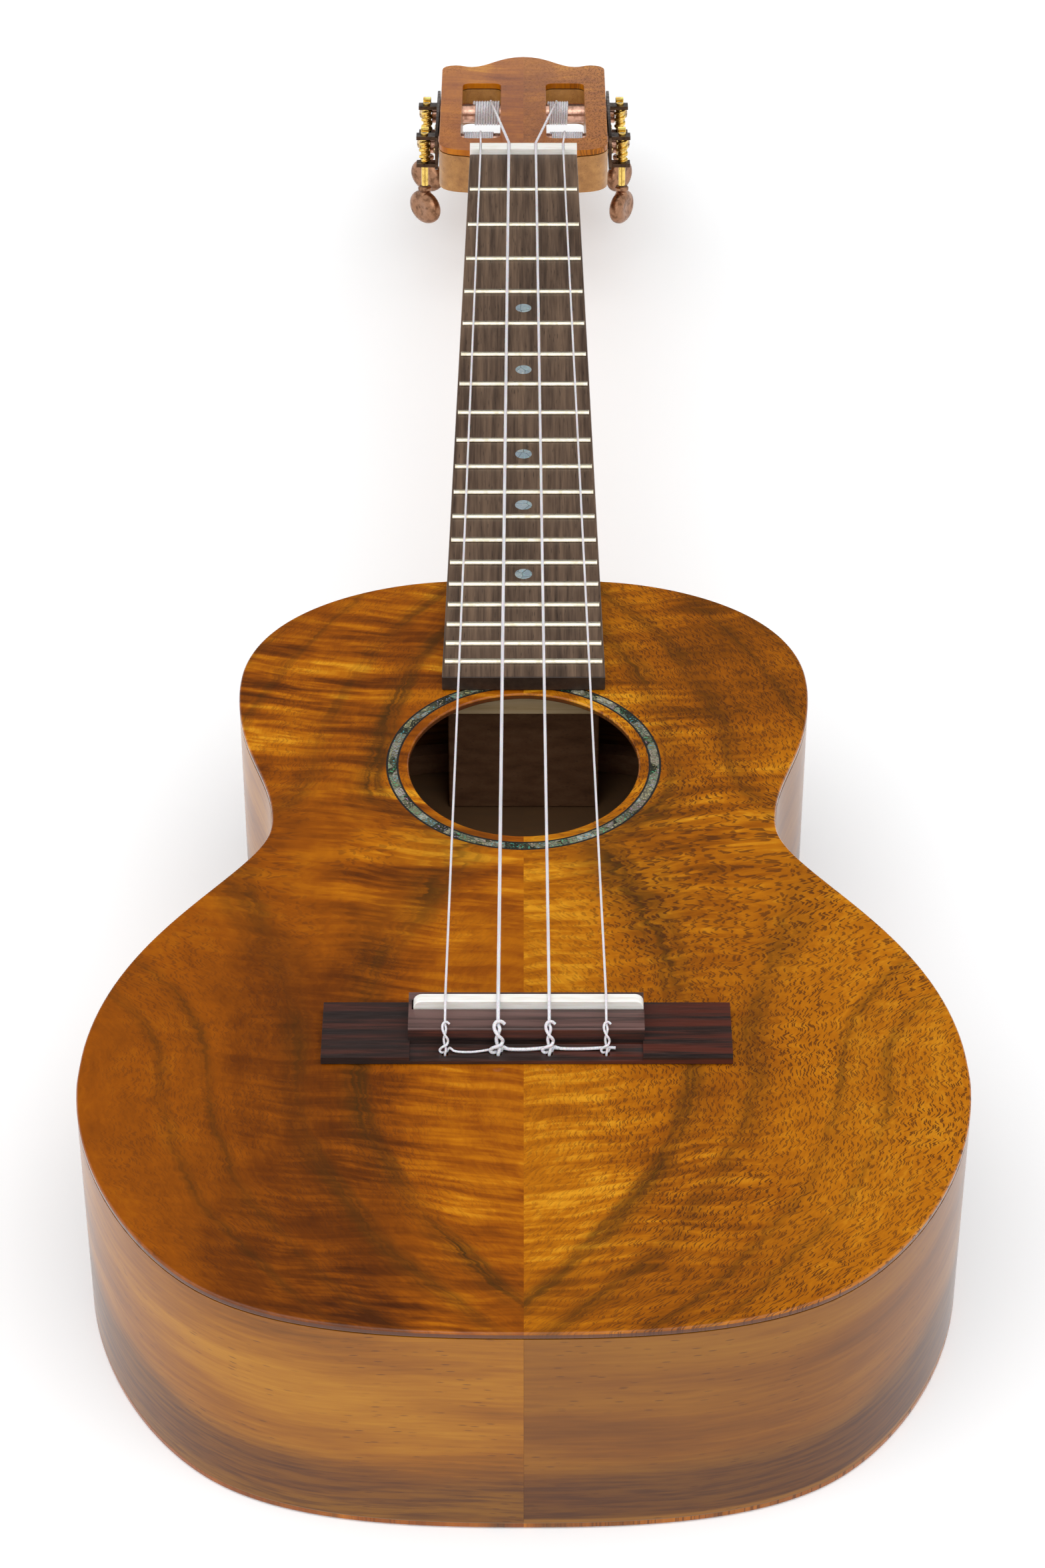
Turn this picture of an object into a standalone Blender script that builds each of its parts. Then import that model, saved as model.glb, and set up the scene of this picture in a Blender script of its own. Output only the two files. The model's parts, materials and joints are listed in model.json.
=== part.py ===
"""Tenor ukulele with a slotted headstock, as an assembly of its separate pieces.

Frame: metres, +Z up. The ukulele lies on its back with the soundboard up. The origin is on the
underside of the back, below the line where the scale length ends; +Y runs to the headstock and
+X to the side of the first string.
"""
import math

import bmesh
import bpy
from mathutils import Matrix, Vector

# ---------------------------------------------------------------- driving dimensions (metres)
GAP = 0.0003                 # clearance left between neighbouring pieces
FINE_GAP = 0.0001            # clearance under the frets and the strings

SCALE = 0.432                # nut to the end of the scale
FRETS = 19
DEPTH = 0.067                # back to soundboard
PLATE = 0.002                # soundboard, back and rib thickness

HEAD_END = 0.1905            # body outline: Y of the neck joint
JOINT_HALF = 0.018           # half of the flat part of the outline under the neck
UPPER_HALF, UPPER_Y = 0.0796, 0.1391
WAIST_HALF, WAIST_Y = 0.0677, 0.0775
LOWER_HALF, LOWER_Y = 0.1112, -0.0231
TAIL_CORNER_HALF, TAIL_CORNER_Y = 0.0770, -0.0960
TAIL_END = -0.1115
OUTLINE_STEPS = 14           # straight pieces in each stretch of the outline

LINING_WIDTH = 0.005
LINING_HEIGHT = 0.007
BLOCK_HALF = 0.022
NECK_BLOCK_LENGTH = 0.022
TAIL_BLOCK_LENGTH = 0.014
BRACE_WIDTH = 0.007
BRACE_HEIGHT = 0.012
BACK_BRACE_HEIGHT = 0.009
UPPER_BRACE_Y = 0.148
LOWER_BRACE_Y = 0.060
BACK_BRACES_Y = (0.100, -0.025)

HOLE_Y = 0.1041              # sound hole and rosette
HOLE_R = 0.0315
GROOVE_INNER_R, GROOVE_OUTER_R = 0.0344, 0.0375
ROSETTE_DEPTH = 0.001
ROSETTE_INSET = 0.0004       # black line on each side of the rosette

BOARD_TOP = 0.0048           # fretboard, above the soundboard
BOARD_END_Y = 0.137
BOARD_NUT_HALF = 0.0180
BOARD_END_HALF = 0.02285
FRET_WIDTH = 0.0020
FRET_HEIGHT = 0.0009
FRET_INSET = 0.0006
NUT_LENGTH = 0.0042
NUT_TOP = 0.0066
NUT_GROOVE = 0.0006

BRIDGE_LEFT, BRIDGE_RIGHT = -0.0507, 0.0523
BLOCK_LEFT, BLOCK_RIGHT = -0.0290, 0.0303
BLOCK_PROFILE = ((0.0022, 0.0057), (0.0017, 0.0062), (-0.0119, 0.0062), (-0.0123, 0.0058))
BLOCK_FOOT_Y = -0.0123       # where the block's front face meets the ledge
BRIDGE_FRONT, BRIDGE_BACK = -0.0187, 0.0022
WING_HEIGHT = 0.0024
LEDGE_HEIGHT = 0.0012
TIE_HOLE_R = 0.0009
TIE_HOLE_Y = -0.0160
SADDLE_FRONT, SADDLE_BACK = -0.0045, -0.0015
SADDLE_TOP = 0.0086
SADDLE_SEAT = 0.0034
SADDLE_INSET = 0.0012        # from the block's left end
SADDLE_CORNER = 0.0022
STRING_DROP = ((-0.0118, 0.0066), (-0.0134, 0.0052))   # (Y, height) down the block's front

NECK_DEPTH_NUT = 0.0150      # neck below the soundboard's level
NECK_DEPTH_HEEL = 0.0170
HEEL_DEPTH = 0.0620
HEEL_REACH = 0.034           # how far the heel's curve runs along the neck
HEEL_TAPER = 0.45            # share of its width that the heel loses towards its bottom
HEEL_STEPS = 10
SHAFT_STEPS = 4
NECK_POINTS = 21             # points across the neck's underside
NECK_ROUNDNESS = 2.3         # 2 is an ellipse, more is squarer
NECK_END_DEPTH = 0.0140      # behind the nut
HEAD_ROUNDNESS = 5.0
NECK_ENDS = ((0.0178, 0.0145, 0.0001, 0.0122), (0.0165, 0.0220, 0.0010, 0.0105))
#            half width, distance along the head, drop below the headplate's gap, depth

HEAD_TILT = math.radians(12.0)
HEAD_THICKNESS = 0.0150
HEADPLATE = 0.0020
HEAD_HALF, HEAD_TIP_HALF = 0.0290, 0.0294
SLOT_INNER, SLOT_OUTER = 0.0080, 0.0217
SLOT_START, SLOT_STOP = 0.0320, 0.0980
SLOT_CORNER = 0.0030
HEAD_START = 0.0150          # where the head's own block starts inside the neck
HEADPLATE_INSET = 0.0005     # headplate's end from the nut

ROLLER_S = (0.0540, 0.0900)  # along the head: near rollers, far rollers
ROLLER_BELOW = 0.0086        # roller axis below the head's face
ROLLER_R = 0.0035
BORE_R = 0.0037
ROLLER_INNER, ROLLER_OUTER = 0.0043, 0.0327
SIDE_PLATE_IN, SIDE_PLATE_OUT = 0.0297, 0.0307
SIDE_PLATE_WIDTH = 0.0120
SIDE_PLATE_START, SIDE_PLATE_STOP = 0.0400, 0.1000   # along the head
SIDE_PLATE_CORNER = 0.0030
EAR_OUT = 0.0372
EAR_THICKNESS = 0.0012
EAR_WIDTH = 0.0050
LAP = 0.0004                 # overlap of pieces that are joined into one
GEAR_IN, GEAR_OUT = 0.0330, 0.0358
GEAR_TEETH = 14
GEAR_TIP_R, GEAR_ROOT_R = 0.0057, 0.0047
WORM_X = 0.0344
WORM_TIP_R, WORM_ROOT_R = 0.0020, 0.0013
WORM_LENGTH = 0.0080
WORM_SHAFT_R = 0.0012
SHAFT_BORE_R = 0.0014
WORM_GAP = 0.0003            # worm thread to gear teeth
SHAFT_TOP_ABOVE, SHAFT_END_BELOW = 0.0062, 0.0127
BUTTON_CENTRE_BELOW = 0.0205  # button's middle below the roller axis
BUTTON_HALF = (0.0030, 0.0078, 0.0057)
BUTTON_TURN = (37.0, 43.0, -28.0, -24.0)   # degrees each button is turned at rest
COLLAR_R = 0.0024
COLLAR_IN_BUTTON = 0.0030    # the collar's lower end above the button's middle

STRING_R = (0.00031, 0.00047, 0.00041, 0.00031)
STRING_NUT_X = (-0.0144, -0.0049, 0.0042, 0.0134)
STRING_SADDLE_X = (-0.0197, -0.0064, 0.0064, 0.0207)
STRING_ROLLER_X = (-0.0150, -0.0116, 0.0118, 0.0145)

MATERIALS = {
    "koa_top": ((0.48, 0.17, 0.03), 0.18, 0.0),
    "koa_sides": ((0.42, 0.18, 0.06), 0.2, 0.0),
    "mahogany": ((0.36, 0.16, 0.07), 0.35, 0.0),
    "spruce": ((0.78, 0.62, 0.40), 0.6, 0.0),
    "abalone": ((0.55, 0.62, 0.58), 0.15, 0.0),
    "rosewood": ((0.09, 0.045, 0.03), 0.45, 0.0),
    "fretboard_wood": ((0.13, 0.085, 0.055), 0.45, 0.0),
    "bone": ((0.86, 0.84, 0.76), 0.35, 0.0),
    "fret_metal": ((0.78, 0.74, 0.66), 0.25, 1.0),
    "nylon": ((0.88, 0.88, 0.90), 0.3, 0.0),
    "copper_metal": ((0.55, 0.33, 0.24), 0.3, 1.0),
    "gold_metal": ((0.80, 0.60, 0.20), 0.25, 1.0),
}

# ---------------------------------------------------------------- derived values
TOP_IN = DEPTH - PLATE                      # inside face of the soundboard
BACK_IN = PLATE                             # inside face of the back
BODY_NECK_Y = HEAD_END + GAP
NECK_TOP = DEPTH - GAP
HEAD_FRAME = Matrix.Translation((0, SCALE, DEPTH)) @ Matrix.Rotation(-HEAD_TILT, 4, "X")
WORM_OFFSET = GEAR_TIP_R + WORM_TIP_R + WORM_GAP

for old in list(bpy.data.objects):
    bpy.data.objects.remove(old, do_unlink=True)

PARTS = bpy.data.collections.new("ukulele")
CUTTERS = bpy.data.collections.new("cutters")
bpy.context.scene.collection.children.link(PARTS)
bpy.context.scene.collection.children.link(CUTTERS)


# ---------------------------------------------------------------- helpers
def make_material(name):
    """A Principled material with the slot's colour, roughness and metallic value."""
    colour, roughness, metallic = MATERIALS[name]
    material = bpy.data.materials.new(name)
    material.use_nodes = True
    shader = material.node_tree.nodes["Principled BSDF"]
    shader.inputs["Base Color"].default_value = (*colour, 1.0)
    shader.inputs["Roughness"].default_value = roughness
    shader.inputs["Metallic"].default_value = metallic
    return material


SLOTS = {name: make_material(name) for name in MATERIALS}


def add_object(name, data, slot, smooth=False):
    """Link data as a named part with its material."""
    obj = bpy.data.objects.new(name, data)
    PARTS.objects.link(obj)
    data.materials.clear()
    data.materials.append(SLOTS[slot])
    if smooth:
        data.shade_smooth()
        data.set_sharp_from_angle(angle=math.radians(35))
    return obj


def as_mesh(source, name, slot, smooth=False):
    """Turn a curve object into a welded mesh object in the same place."""
    bpy.context.view_layer.update()
    evaluated = source.evaluated_get(bpy.context.evaluated_depsgraph_get())
    mesh = bpy.data.meshes.new_from_object(evaluated)
    shape = bmesh.new()
    shape.from_mesh(mesh)
    bmesh.ops.remove_doubles(shape, verts=shape.verts, dist=1e-6)
    shape.to_mesh(mesh)
    shape.free()
    mesh.name = name
    place = source.matrix_world.copy()
    bpy.data.objects.remove(source, do_unlink=True)
    obj = add_object(name, mesh, slot, smooth)
    obj.matrix_world = place
    return obj


def flat_piece(name, loops, low, high, slot, frame=None, smooth=False):
    """Closed outlines, the outer one first and holes after it, thickened from low to high."""
    curve = bpy.data.curves.new(name, "CURVE")
    curve.dimensions = "2D"
    curve.fill_mode = "BOTH"
    curve.extrude = (high - low) / 2
    for loop in loops:
        spline = curve.splines.new("POLY")
        spline.points.add(len(loop) - 1)
        spline.use_cyclic_u = True
        for point, (x, y) in zip(spline.points, loop):
            point.co = (x, y, 0, 1)
    source = bpy.data.objects.new(name + "_outline", curve)
    PARTS.objects.link(source)
    source.matrix_world = (frame or Matrix()) @ Matrix.Translation((0, 0, (low + high) / 2))
    return as_mesh(source, name, slot, smooth)


def box(name, low, high, slot, frame=None):
    """A rectangular block between two corners."""
    shape = bmesh.new()
    bmesh.ops.create_cube(shape, size=1.0)
    size = [b - a for a, b in zip(low, high)]
    middle = [(a + b) / 2 for a, b in zip(low, high)]
    bmesh.ops.scale(shape, verts=shape.verts, vec=size)
    bmesh.ops.translate(shape, verts=shape.verts, vec=middle)
    mesh = bpy.data.meshes.new(name)
    shape.to_mesh(mesh)
    shape.free()
    obj = add_object(name, mesh, slot)
    obj.matrix_world = frame or Matrix()
    return obj


def rod(name, radius, low, high, slot, frame, segments=20):
    """A cylinder along the frame's Z axis, from low to high."""
    shape = bmesh.new()
    middle = Matrix.Translation((0, 0, (low + high) / 2))
    bmesh.ops.create_cone(shape, cap_ends=True, segments=segments, radius1=radius,
                          radius2=radius, depth=high - low, matrix=middle)
    mesh = bpy.data.meshes.new(name)
    shape.to_mesh(mesh)
    shape.free()
    obj = add_object(name, mesh, slot, smooth=True)
    obj.matrix_world = frame
    return obj


def loft(name, rings, slot, frame=None):
    """A solid through rings of equally many points, closed by flat ends."""
    shape = bmesh.new()
    rows = [[shape.verts.new(point) for point in ring] for ring in rings]
    count = len(rows[0])
    for first, second in zip(rows, rows[1:]):
        for i in range(count):
            j = (i + 1) % count
            shape.faces.new((first[i], first[j], second[j], second[i]))
    shape.faces.new(list(reversed(rows[0])))
    shape.faces.new(rows[-1])
    bmesh.ops.recalc_face_normals(shape, faces=shape.faces)
    mesh = bpy.data.meshes.new(name)
    shape.to_mesh(mesh)
    shape.free()
    obj = add_object(name, mesh, slot, smooth=True)
    obj.matrix_world = frame or Matrix()
    return obj


def boolean(target, tools, operation):
    """Cut the tools from the target, or join them to it, and keep the result as a plain mesh."""
    for tool in tools:
        PARTS.objects.unlink(tool)
        CUTTERS.objects.link(tool)
        tool.hide_render = True
        tool.display_type = "WIRE"
        modifier = target.modifiers.new(operation.lower(), "BOOLEAN")
        modifier.operation = operation
        modifier.object = tool
    bpy.context.view_layer.update()
    evaluated = target.evaluated_get(bpy.context.evaluated_depsgraph_get())
    mesh = bpy.data.meshes.new_from_object(evaluated)
    target.modifiers.clear()
    target.data = mesh
    for tool in tools:
        bpy.data.objects.remove(tool, do_unlink=True)


def bezier(start, handle_1, handle_2, end, steps):
    """Points of a cubic Bezier curve, without its last one."""
    points = []
    for i in range(steps):
        t = i / steps
        weights = ((1 - t) ** 3, 3 * (1 - t) ** 2 * t, 3 * (1 - t) * t * t, t ** 3)
        corners = (start, handle_1, handle_2, end)
        points.append(tuple(sum(w * c[k] for w, c in zip(weights, corners)) for k in (0, 1)))
    return points


def circle(x, y, radius, segments):
    """Points round a circle."""
    turn = 2 * math.pi / segments
    return [(x + radius * math.cos(i * turn), y + radius * math.sin(i * turn))
            for i in range(segments)]


def rounded_rectangle(x_low, y_low, x_high, y_high, radius, steps=4):
    """A rectangle with round corners, anticlockwise."""
    points = []
    corners = ((x_high - radius, y_low + radius, -0.5), (x_high - radius, y_high - radius, 0.0),
               (x_low + radius, y_high - radius, 0.5), (x_low + radius, y_low + radius, 1.0))
    for x, y, start in corners:
        for i in range(steps + 1):
            angle = math.pi * (start + 0.5 * i / steps)
            points.append((x + radius * math.cos(angle), y + radius * math.sin(angle)))
    return points


def mirrored(half):
    """A closed loop from a right half that runs from one end of the centre line to the other."""
    return half + [(-x, y) for x, y in reversed(half) if x > 1e-7]


# ---------------------------------------------------------------- the body's outline
def half_outline():
    """Right half of the body, from the neck joint down to the tail."""
    steps = OUTLINE_STEPS
    head = (JOINT_HALF, HEAD_END)
    upper = (UPPER_HALF, UPPER_Y)
    waist = (WAIST_HALF, WAIST_Y)
    lower = (LOWER_HALF, LOWER_Y)
    corner = (TAIL_CORNER_HALF, TAIL_CORNER_Y)
    tail = (0.0, TAIL_END)
    points = [(0.0, HEAD_END)]
    points += bezier(head, (0.041, HEAD_END), (UPPER_HALF, UPPER_Y + 0.0375), upper, steps)
    points += bezier(upper, (UPPER_HALF, UPPER_Y - 0.0308),
                     (WAIST_HALF, WAIST_Y + 0.0215), waist, steps)
    points += bezier(waist, (WAIST_HALF, WAIST_Y - 0.0210),
                     (LOWER_HALF, LOWER_Y + 0.0558), lower, steps)
    points += bezier(lower, (LOWER_HALF, LOWER_Y - 0.0290),
                     (0.0960, -0.0820), corner, steps)
    points += bezier(corner, (0.0580, -0.1100), (0.0280, TAIL_END), tail, steps)
    return points + [tail]


def inward(half, distance):
    """The half outline moved inwards by a distance, its ends kept on the centre line."""
    moved = []
    last = len(half) - 1
    for i, (x, y) in enumerate(half):
        before = half[max(i - 1, 0)]
        after = half[min(i + 1, last)]
        along = Vector((after[0] - before[0], after[1] - before[1])).normalized()
        if i in (0, last):
            moved.append((x, y - distance if i == 0 else y + distance))
        else:
            moved.append((x + along.y * distance, y - along.x * distance))
    return moved


def outline(distance=0.0):
    """The whole body outline, moved inwards by a distance."""
    return mirrored(inward(half_outline(), distance))


def inside_half_width(y, distance):
    """Half the width of the body at a given Y, measured to the outline moved inwards."""
    half = inward(half_outline(), distance)
    for (x1, y1), (x2, y2) in zip(half, half[1:]):
        if y2 <= y <= y1 and y1 > y2:
            return x1 + (x2 - x1) * (y1 - y) / (y1 - y2)
    return 0.0


# ---------------------------------------------------------------- body pieces
def make_soundboard():
    board = flat_piece("soundboard", [outline(), circle(0, HOLE_Y, HOLE_R, 64)],
                       TOP_IN, DEPTH, "koa_top", smooth=True)
    groove = flat_piece("groove", [circle(0, HOLE_Y, GROOVE_OUTER_R, 64),
                                   circle(0, HOLE_Y, GROOVE_INNER_R, 64)],
                        DEPTH - ROSETTE_DEPTH - GAP, DEPTH + GAP, "koa_top")
    boolean(board, [groove], "DIFFERENCE")
    flat_piece("rosette", [circle(0, HOLE_Y, GROOVE_OUTER_R - ROSETTE_INSET, 64),
                           circle(0, HOLE_Y, GROOVE_INNER_R + ROSETTE_INSET, 64)],
               DEPTH - ROSETTE_DEPTH, DEPTH, "abalone", smooth=True)


def make_shell():
    flat_piece("back_plate", [outline()], 0.0, BACK_IN, "koa_sides", smooth=True)
    outer = half_outline()
    inner = inward(outer, PLATE)
    seam = GAP / 2
    for side, name in ((-1, "rib_left"), (1, "rib_right")):
        loop = [(side * max(x, seam), y) for x, y in outer + inner[::-1]]
        flat_piece(name, [loop], BACK_IN + GAP, TOP_IN - GAP, "koa_sides", smooth=True)


def make_linings():
    loops = [outline(PLATE + GAP), outline(PLATE + GAP + LINING_WIDTH)]
    low, high = BACK_IN + GAP, TOP_IN - GAP
    flat_piece("top_lining", loops, high - LINING_HEIGHT, high, "mahogany")
    flat_piece("back_lining", loops, low, low + LINING_HEIGHT, "mahogany")


def make_block(name, outer_y, inner_y):
    """An end block, notched at its outer edges for the linings."""
    low, high = BACK_IN + GAP, TOP_IN - GAP
    notch = LINING_HEIGHT + GAP
    inward_sign = 1 if inner_y > outer_y else -1
    notch_y = outer_y + inward_sign * (LINING_WIDTH + 3 * GAP)
    side = [(outer_y, low + notch), (notch_y, low + notch), (notch_y, low), (inner_y, low),
            (inner_y, high), (notch_y, high), (notch_y, high - notch), (outer_y, high - notch)]
    frame = Matrix.Rotation(math.pi / 2, 4, "Z") @ Matrix.Rotation(math.pi / 2, 4, "X")
    flat_piece(name, [side], -BLOCK_HALF, BLOCK_HALF, "mahogany", frame)


def make_blocks():
    wall = PLATE + GAP
    sag = 0.0012             # how far the outline falls away over the block's half width
    make_block("neck_block", HEAD_END - wall - sag, HEAD_END - wall - NECK_BLOCK_LENGTH)
    make_block("tail_block", TAIL_END + wall + sag, TAIL_END + wall + TAIL_BLOCK_LENGTH)


def make_brace(name, y, height, under_top):
    """A cross brace with ends carved down to a third of its height."""
    reach = PLATE + LINING_WIDTH + 3 * GAP
    half = min(inside_half_width(y - BRACE_WIDTH / 2, reach),
               inside_half_width(y + BRACE_WIDTH / 2, reach))
    taper = 0.014
    tip = height / 3
    glued, sign = (TOP_IN - GAP, -1) if under_top else (BACK_IN + GAP, 1)
    profile = [(-half, glued), (half, glued), (half, glued + sign * tip),
               (half - taper, glued + sign * height), (-half + taper, glued + sign * height),
               (-half, glued + sign * tip)]
    frame = Matrix.Translation((0, y, 0)) @ Matrix.Rotation(math.pi / 2, 4, "X")
    flat_piece(name, [profile], -BRACE_WIDTH / 2, BRACE_WIDTH / 2, "spruce", frame)


def make_braces():
    make_brace("upper_brace", UPPER_BRACE_Y, BRACE_HEIGHT, True)
    make_brace("lower_brace", LOWER_BRACE_Y, BRACE_HEIGHT, True)
    for name, y in zip(("back_brace_upper", "back_brace_lower"), BACK_BRACES_Y):
        make_brace(name, y, BACK_BRACE_HEIGHT, False)


# ---------------------------------------------------------------- bridge, saddle, nut, fretboard
def make_bridge():
    """Low wings, a raised block with a sloped top, a slot for the saddle and a drilled ledge."""
    profile = [(BRIDGE_FRONT, GAP), (BLOCK_PROFILE[0][0], GAP), *BLOCK_PROFILE,
               (BLOCK_FOOT_Y, LEDGE_HEIGHT), (BRIDGE_FRONT, LEDGE_HEIGHT)]
    frame = (Matrix.Translation((0, 0, DEPTH)) @ Matrix.Rotation(math.pi / 2, 4, "Z")
             @ Matrix.Rotation(math.pi / 2, 4, "X"))
    bridge = flat_piece("bridge", [profile], BLOCK_LEFT, BLOCK_RIGHT, "rosewood", frame)
    low, high = DEPTH + GAP, DEPTH + WING_HEIGHT
    wings = [box("wing", (BRIDGE_LEFT, BRIDGE_FRONT, low), (BLOCK_LEFT + LAP, BRIDGE_BACK, high),
                 "rosewood"),
             box("wing", (BLOCK_RIGHT - LAP, BRIDGE_FRONT, low), (BRIDGE_RIGHT, BRIDGE_BACK, high),
                 "rosewood")]
    boolean(bridge, wings, "UNION")
    above = DEPTH + 2 * SADDLE_TOP
    cuts = [box("slot", (BLOCK_LEFT + SADDLE_INSET - LAP, SADDLE_FRONT - GAP,
                         DEPTH + SADDLE_SEAT - GAP),
                (BLOCK_RIGHT + LAP, SADDLE_BACK + GAP, above), "rosewood")]
    for x in STRING_SADDLE_X:
        place = Matrix.Translation((x, TIE_HOLE_Y, DEPTH))
        cuts.append(rod("tie_hole", TIE_HOLE_R, -LAP, LEDGE_HEIGHT + LAP, "rosewood", place, 12))
    boolean(bridge, cuts, "DIFFERENCE")


def make_saddle():
    """A bone strip on edge, with rounded top corners."""
    left, right = BLOCK_LEFT + SADDLE_INSET, BLOCK_RIGHT - FINE_GAP
    low, high = SADDLE_SEAT, SADDLE_TOP
    radius = SADDLE_CORNER
    profile = [(left, low), (right, low)]
    for x, start in ((right - radius, 0.0), (left + radius, 0.5)):
        for i in range(6):
            angle = math.pi * (start + 0.1 * i)
            profile.append((x + radius * math.cos(angle), high - radius + radius * math.sin(angle)))
    middle = (SADDLE_FRONT + SADDLE_BACK) / 2
    half = (SADDLE_BACK - SADDLE_FRONT) / 2
    frame = Matrix.Translation((0, middle, DEPTH)) @ Matrix.Rotation(math.pi / 2, 4, "X")
    flat_piece("saddle", [profile], -half, half, "bone", frame)


def board_half_width(y):
    """Half the fretboard's width at a given Y."""
    share = (SCALE - y) / (SCALE - BOARD_END_Y)
    return BOARD_NUT_HALF + share * (BOARD_END_HALF - BOARD_NUT_HALF)


def make_fretboard():
    top = SCALE - GAP
    corners = [(-BOARD_END_HALF, BOARD_END_Y), (BOARD_END_HALF, BOARD_END_Y),
               (BOARD_NUT_HALF, top), (-BOARD_NUT_HALF, top)]
    flat_piece("fretboard", [corners], DEPTH + GAP, DEPTH + BOARD_TOP, "fretboard_wood")


def make_frets():
    """Half-round crowns at the equal-tempered places."""
    half = FRET_WIDTH / 2
    arc = [(half * math.cos(a), FRET_HEIGHT * math.sin(a))
           for a in [math.pi * i / 6 for i in range(7)]]
    for n in range(1, FRETS + 1):
        y = SCALE * 2 ** (-n / 12)
        reach = board_half_width(y) - FRET_INSET
        frame = (Matrix.Translation((0, y, DEPTH + BOARD_TOP + FINE_GAP))
                 @ Matrix.Rotation(math.pi / 2, 4, "Z") @ Matrix.Rotation(math.pi / 2, 4, "X"))
        flat_piece(f"fret_{n:02d}", [arc], -reach, reach, "fret_metal", frame, smooth=True)


def make_nut():
    """A bone block with a round-bottomed groove under each string."""
    top = NUT_TOP
    profile = [(-BOARD_NUT_HALF, GAP), (BOARD_NUT_HALF, GAP), (BOARD_NUT_HALF, top)]
    for x, string_r in reversed(list(zip(STRING_NUT_X, STRING_R))):
        radius = string_r + FINE_GAP
        middle = top - NUT_GROOVE + radius
        profile.append((x + radius, top))
        for i in range(7):
            angle = -math.pi * i / 6
            profile.append((x + radius * math.cos(angle), middle + radius * math.sin(angle)))
        profile.append((x - radius, top))
    profile.append((-BOARD_NUT_HALF, top))
    middle_y = SCALE + NUT_LENGTH / 2
    frame = Matrix.Translation((0, middle_y, DEPTH)) @ Matrix.Rotation(math.pi / 2, 4, "X")
    flat_piece("nut", [profile], -NUT_LENGTH / 2, NUT_LENGTH / 2, "bone", frame)


# ---------------------------------------------------------------- neck and head
def neck_ring(half, depth, taper=0.0, roundness=NECK_ROUNDNESS):
    """A D-shaped section, flat on top: (across, up) from the middle of its top edge."""
    points = []
    power = 2 / roundness
    for i in range(NECK_POINTS):
        angle = math.pi * i / (NECK_POINTS - 1)
        c, s = math.cos(angle), math.sin(angle)
        down = abs(s) ** power
        across = math.copysign(abs(c) ** power, c) * half * (1 - taper * down * abs(c))
        points.append((across, -depth * down))
    return points


def neck_sections():
    """Rings from the heel to inside the head."""
    rings = []
    for i in range(HEEL_STEPS + 1):
        reach = HEEL_REACH * (1 - math.cos(0.5 * math.pi * i / HEEL_STEPS))
        y = BODY_NECK_Y + reach
        fall = math.sqrt(max(0.0, 1 - (reach / HEEL_REACH - 1) ** 2))
        depth = HEEL_DEPTH + (NECK_DEPTH_HEEL - HEEL_DEPTH) * fall
        ring = neck_ring(board_half_width(y), depth, HEEL_TAPER * (1 - fall))
        rings.append([(x, y, NECK_TOP + z) for x, z in ring])
    shaft_start = BODY_NECK_Y + HEEL_REACH
    for i in range(1, SHAFT_STEPS + 1):
        share = i / SHAFT_STEPS
        y = shaft_start + (SCALE - shaft_start) * share
        depth = NECK_DEPTH_HEEL + (NECK_DEPTH_NUT - NECK_DEPTH_HEEL) * share
        rings.append([(x, y, NECK_TOP + z) for x, z in neck_ring(board_half_width(y), depth)])
    step = HEADPLATE + 4 * GAP                  # the headplate ends against this step
    nut_back = SCALE + NUT_LENGTH
    rings.append([(x, nut_back, NECK_TOP + z)
                  for x, z in neck_ring(BOARD_NUT_HALF, NECK_END_DEPTH)])
    rings.append([(x, nut_back + FINE_GAP, NECK_TOP - step + z)
                  for x, z in neck_ring(BOARD_NUT_HALF, NECK_END_DEPTH - step)])
    for half, s, drop, depth in NECK_ENDS:
        top = -(HEADPLATE + GAP + drop)
        rings.append([tuple(HEAD_FRAME @ Vector((x, s, z + top)))
                      for x, z in neck_ring(half, depth, 0.0, HEAD_ROUNDNESS)])
    return rings


def head_outline(start):
    """The head's edge: round shoulders, straight sides and a crest between two shallow dips."""
    half = bezier((0.0, 0.132), (0.009, 0.132), (0.0125, 0.1195), (0.0186, 0.119), 8)
    half += bezier((0.0186, 0.119), (0.021, 0.1188), (0.022, 0.1212), (0.0245, 0.1211), 4)
    half += bezier((0.0245, 0.1211), (0.0275, 0.121), (HEAD_TIP_HALF, 0.119),
                   (HEAD_TIP_HALF, 0.1155), 4)
    half.append((HEAD_TIP_HALF, 0.1155))
    half += bezier((HEAD_HALF, 0.0280), (HEAD_HALF, 0.0205), (0.0240, 0.0186),
                   (0.0198, 0.0180), 6)
    half += bezier((0.0198, 0.0180), (0.0186, 0.0178), (0.0180, 0.0172), (0.0180, 0.0160), 3)
    half.append((0.0180, start))
    return half + [(-x, y) for x, y in reversed(half) if x > 1e-7]


def slot_loops():
    right = rounded_rectangle(SLOT_INNER, SLOT_START, SLOT_OUTER, SLOT_STOP, SLOT_CORNER)
    return [right, [(-x, y) for x, y in right]]


def side_frame(side, s):
    """A frame on a roller's axis, with its Z axis pointing out of the head's side."""
    out = Matrix.Rotation(side * math.pi / 2, 4, "Y")
    return HEAD_FRAME @ Matrix.Translation((0, s, -ROLLER_BELOW)) @ out


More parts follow.
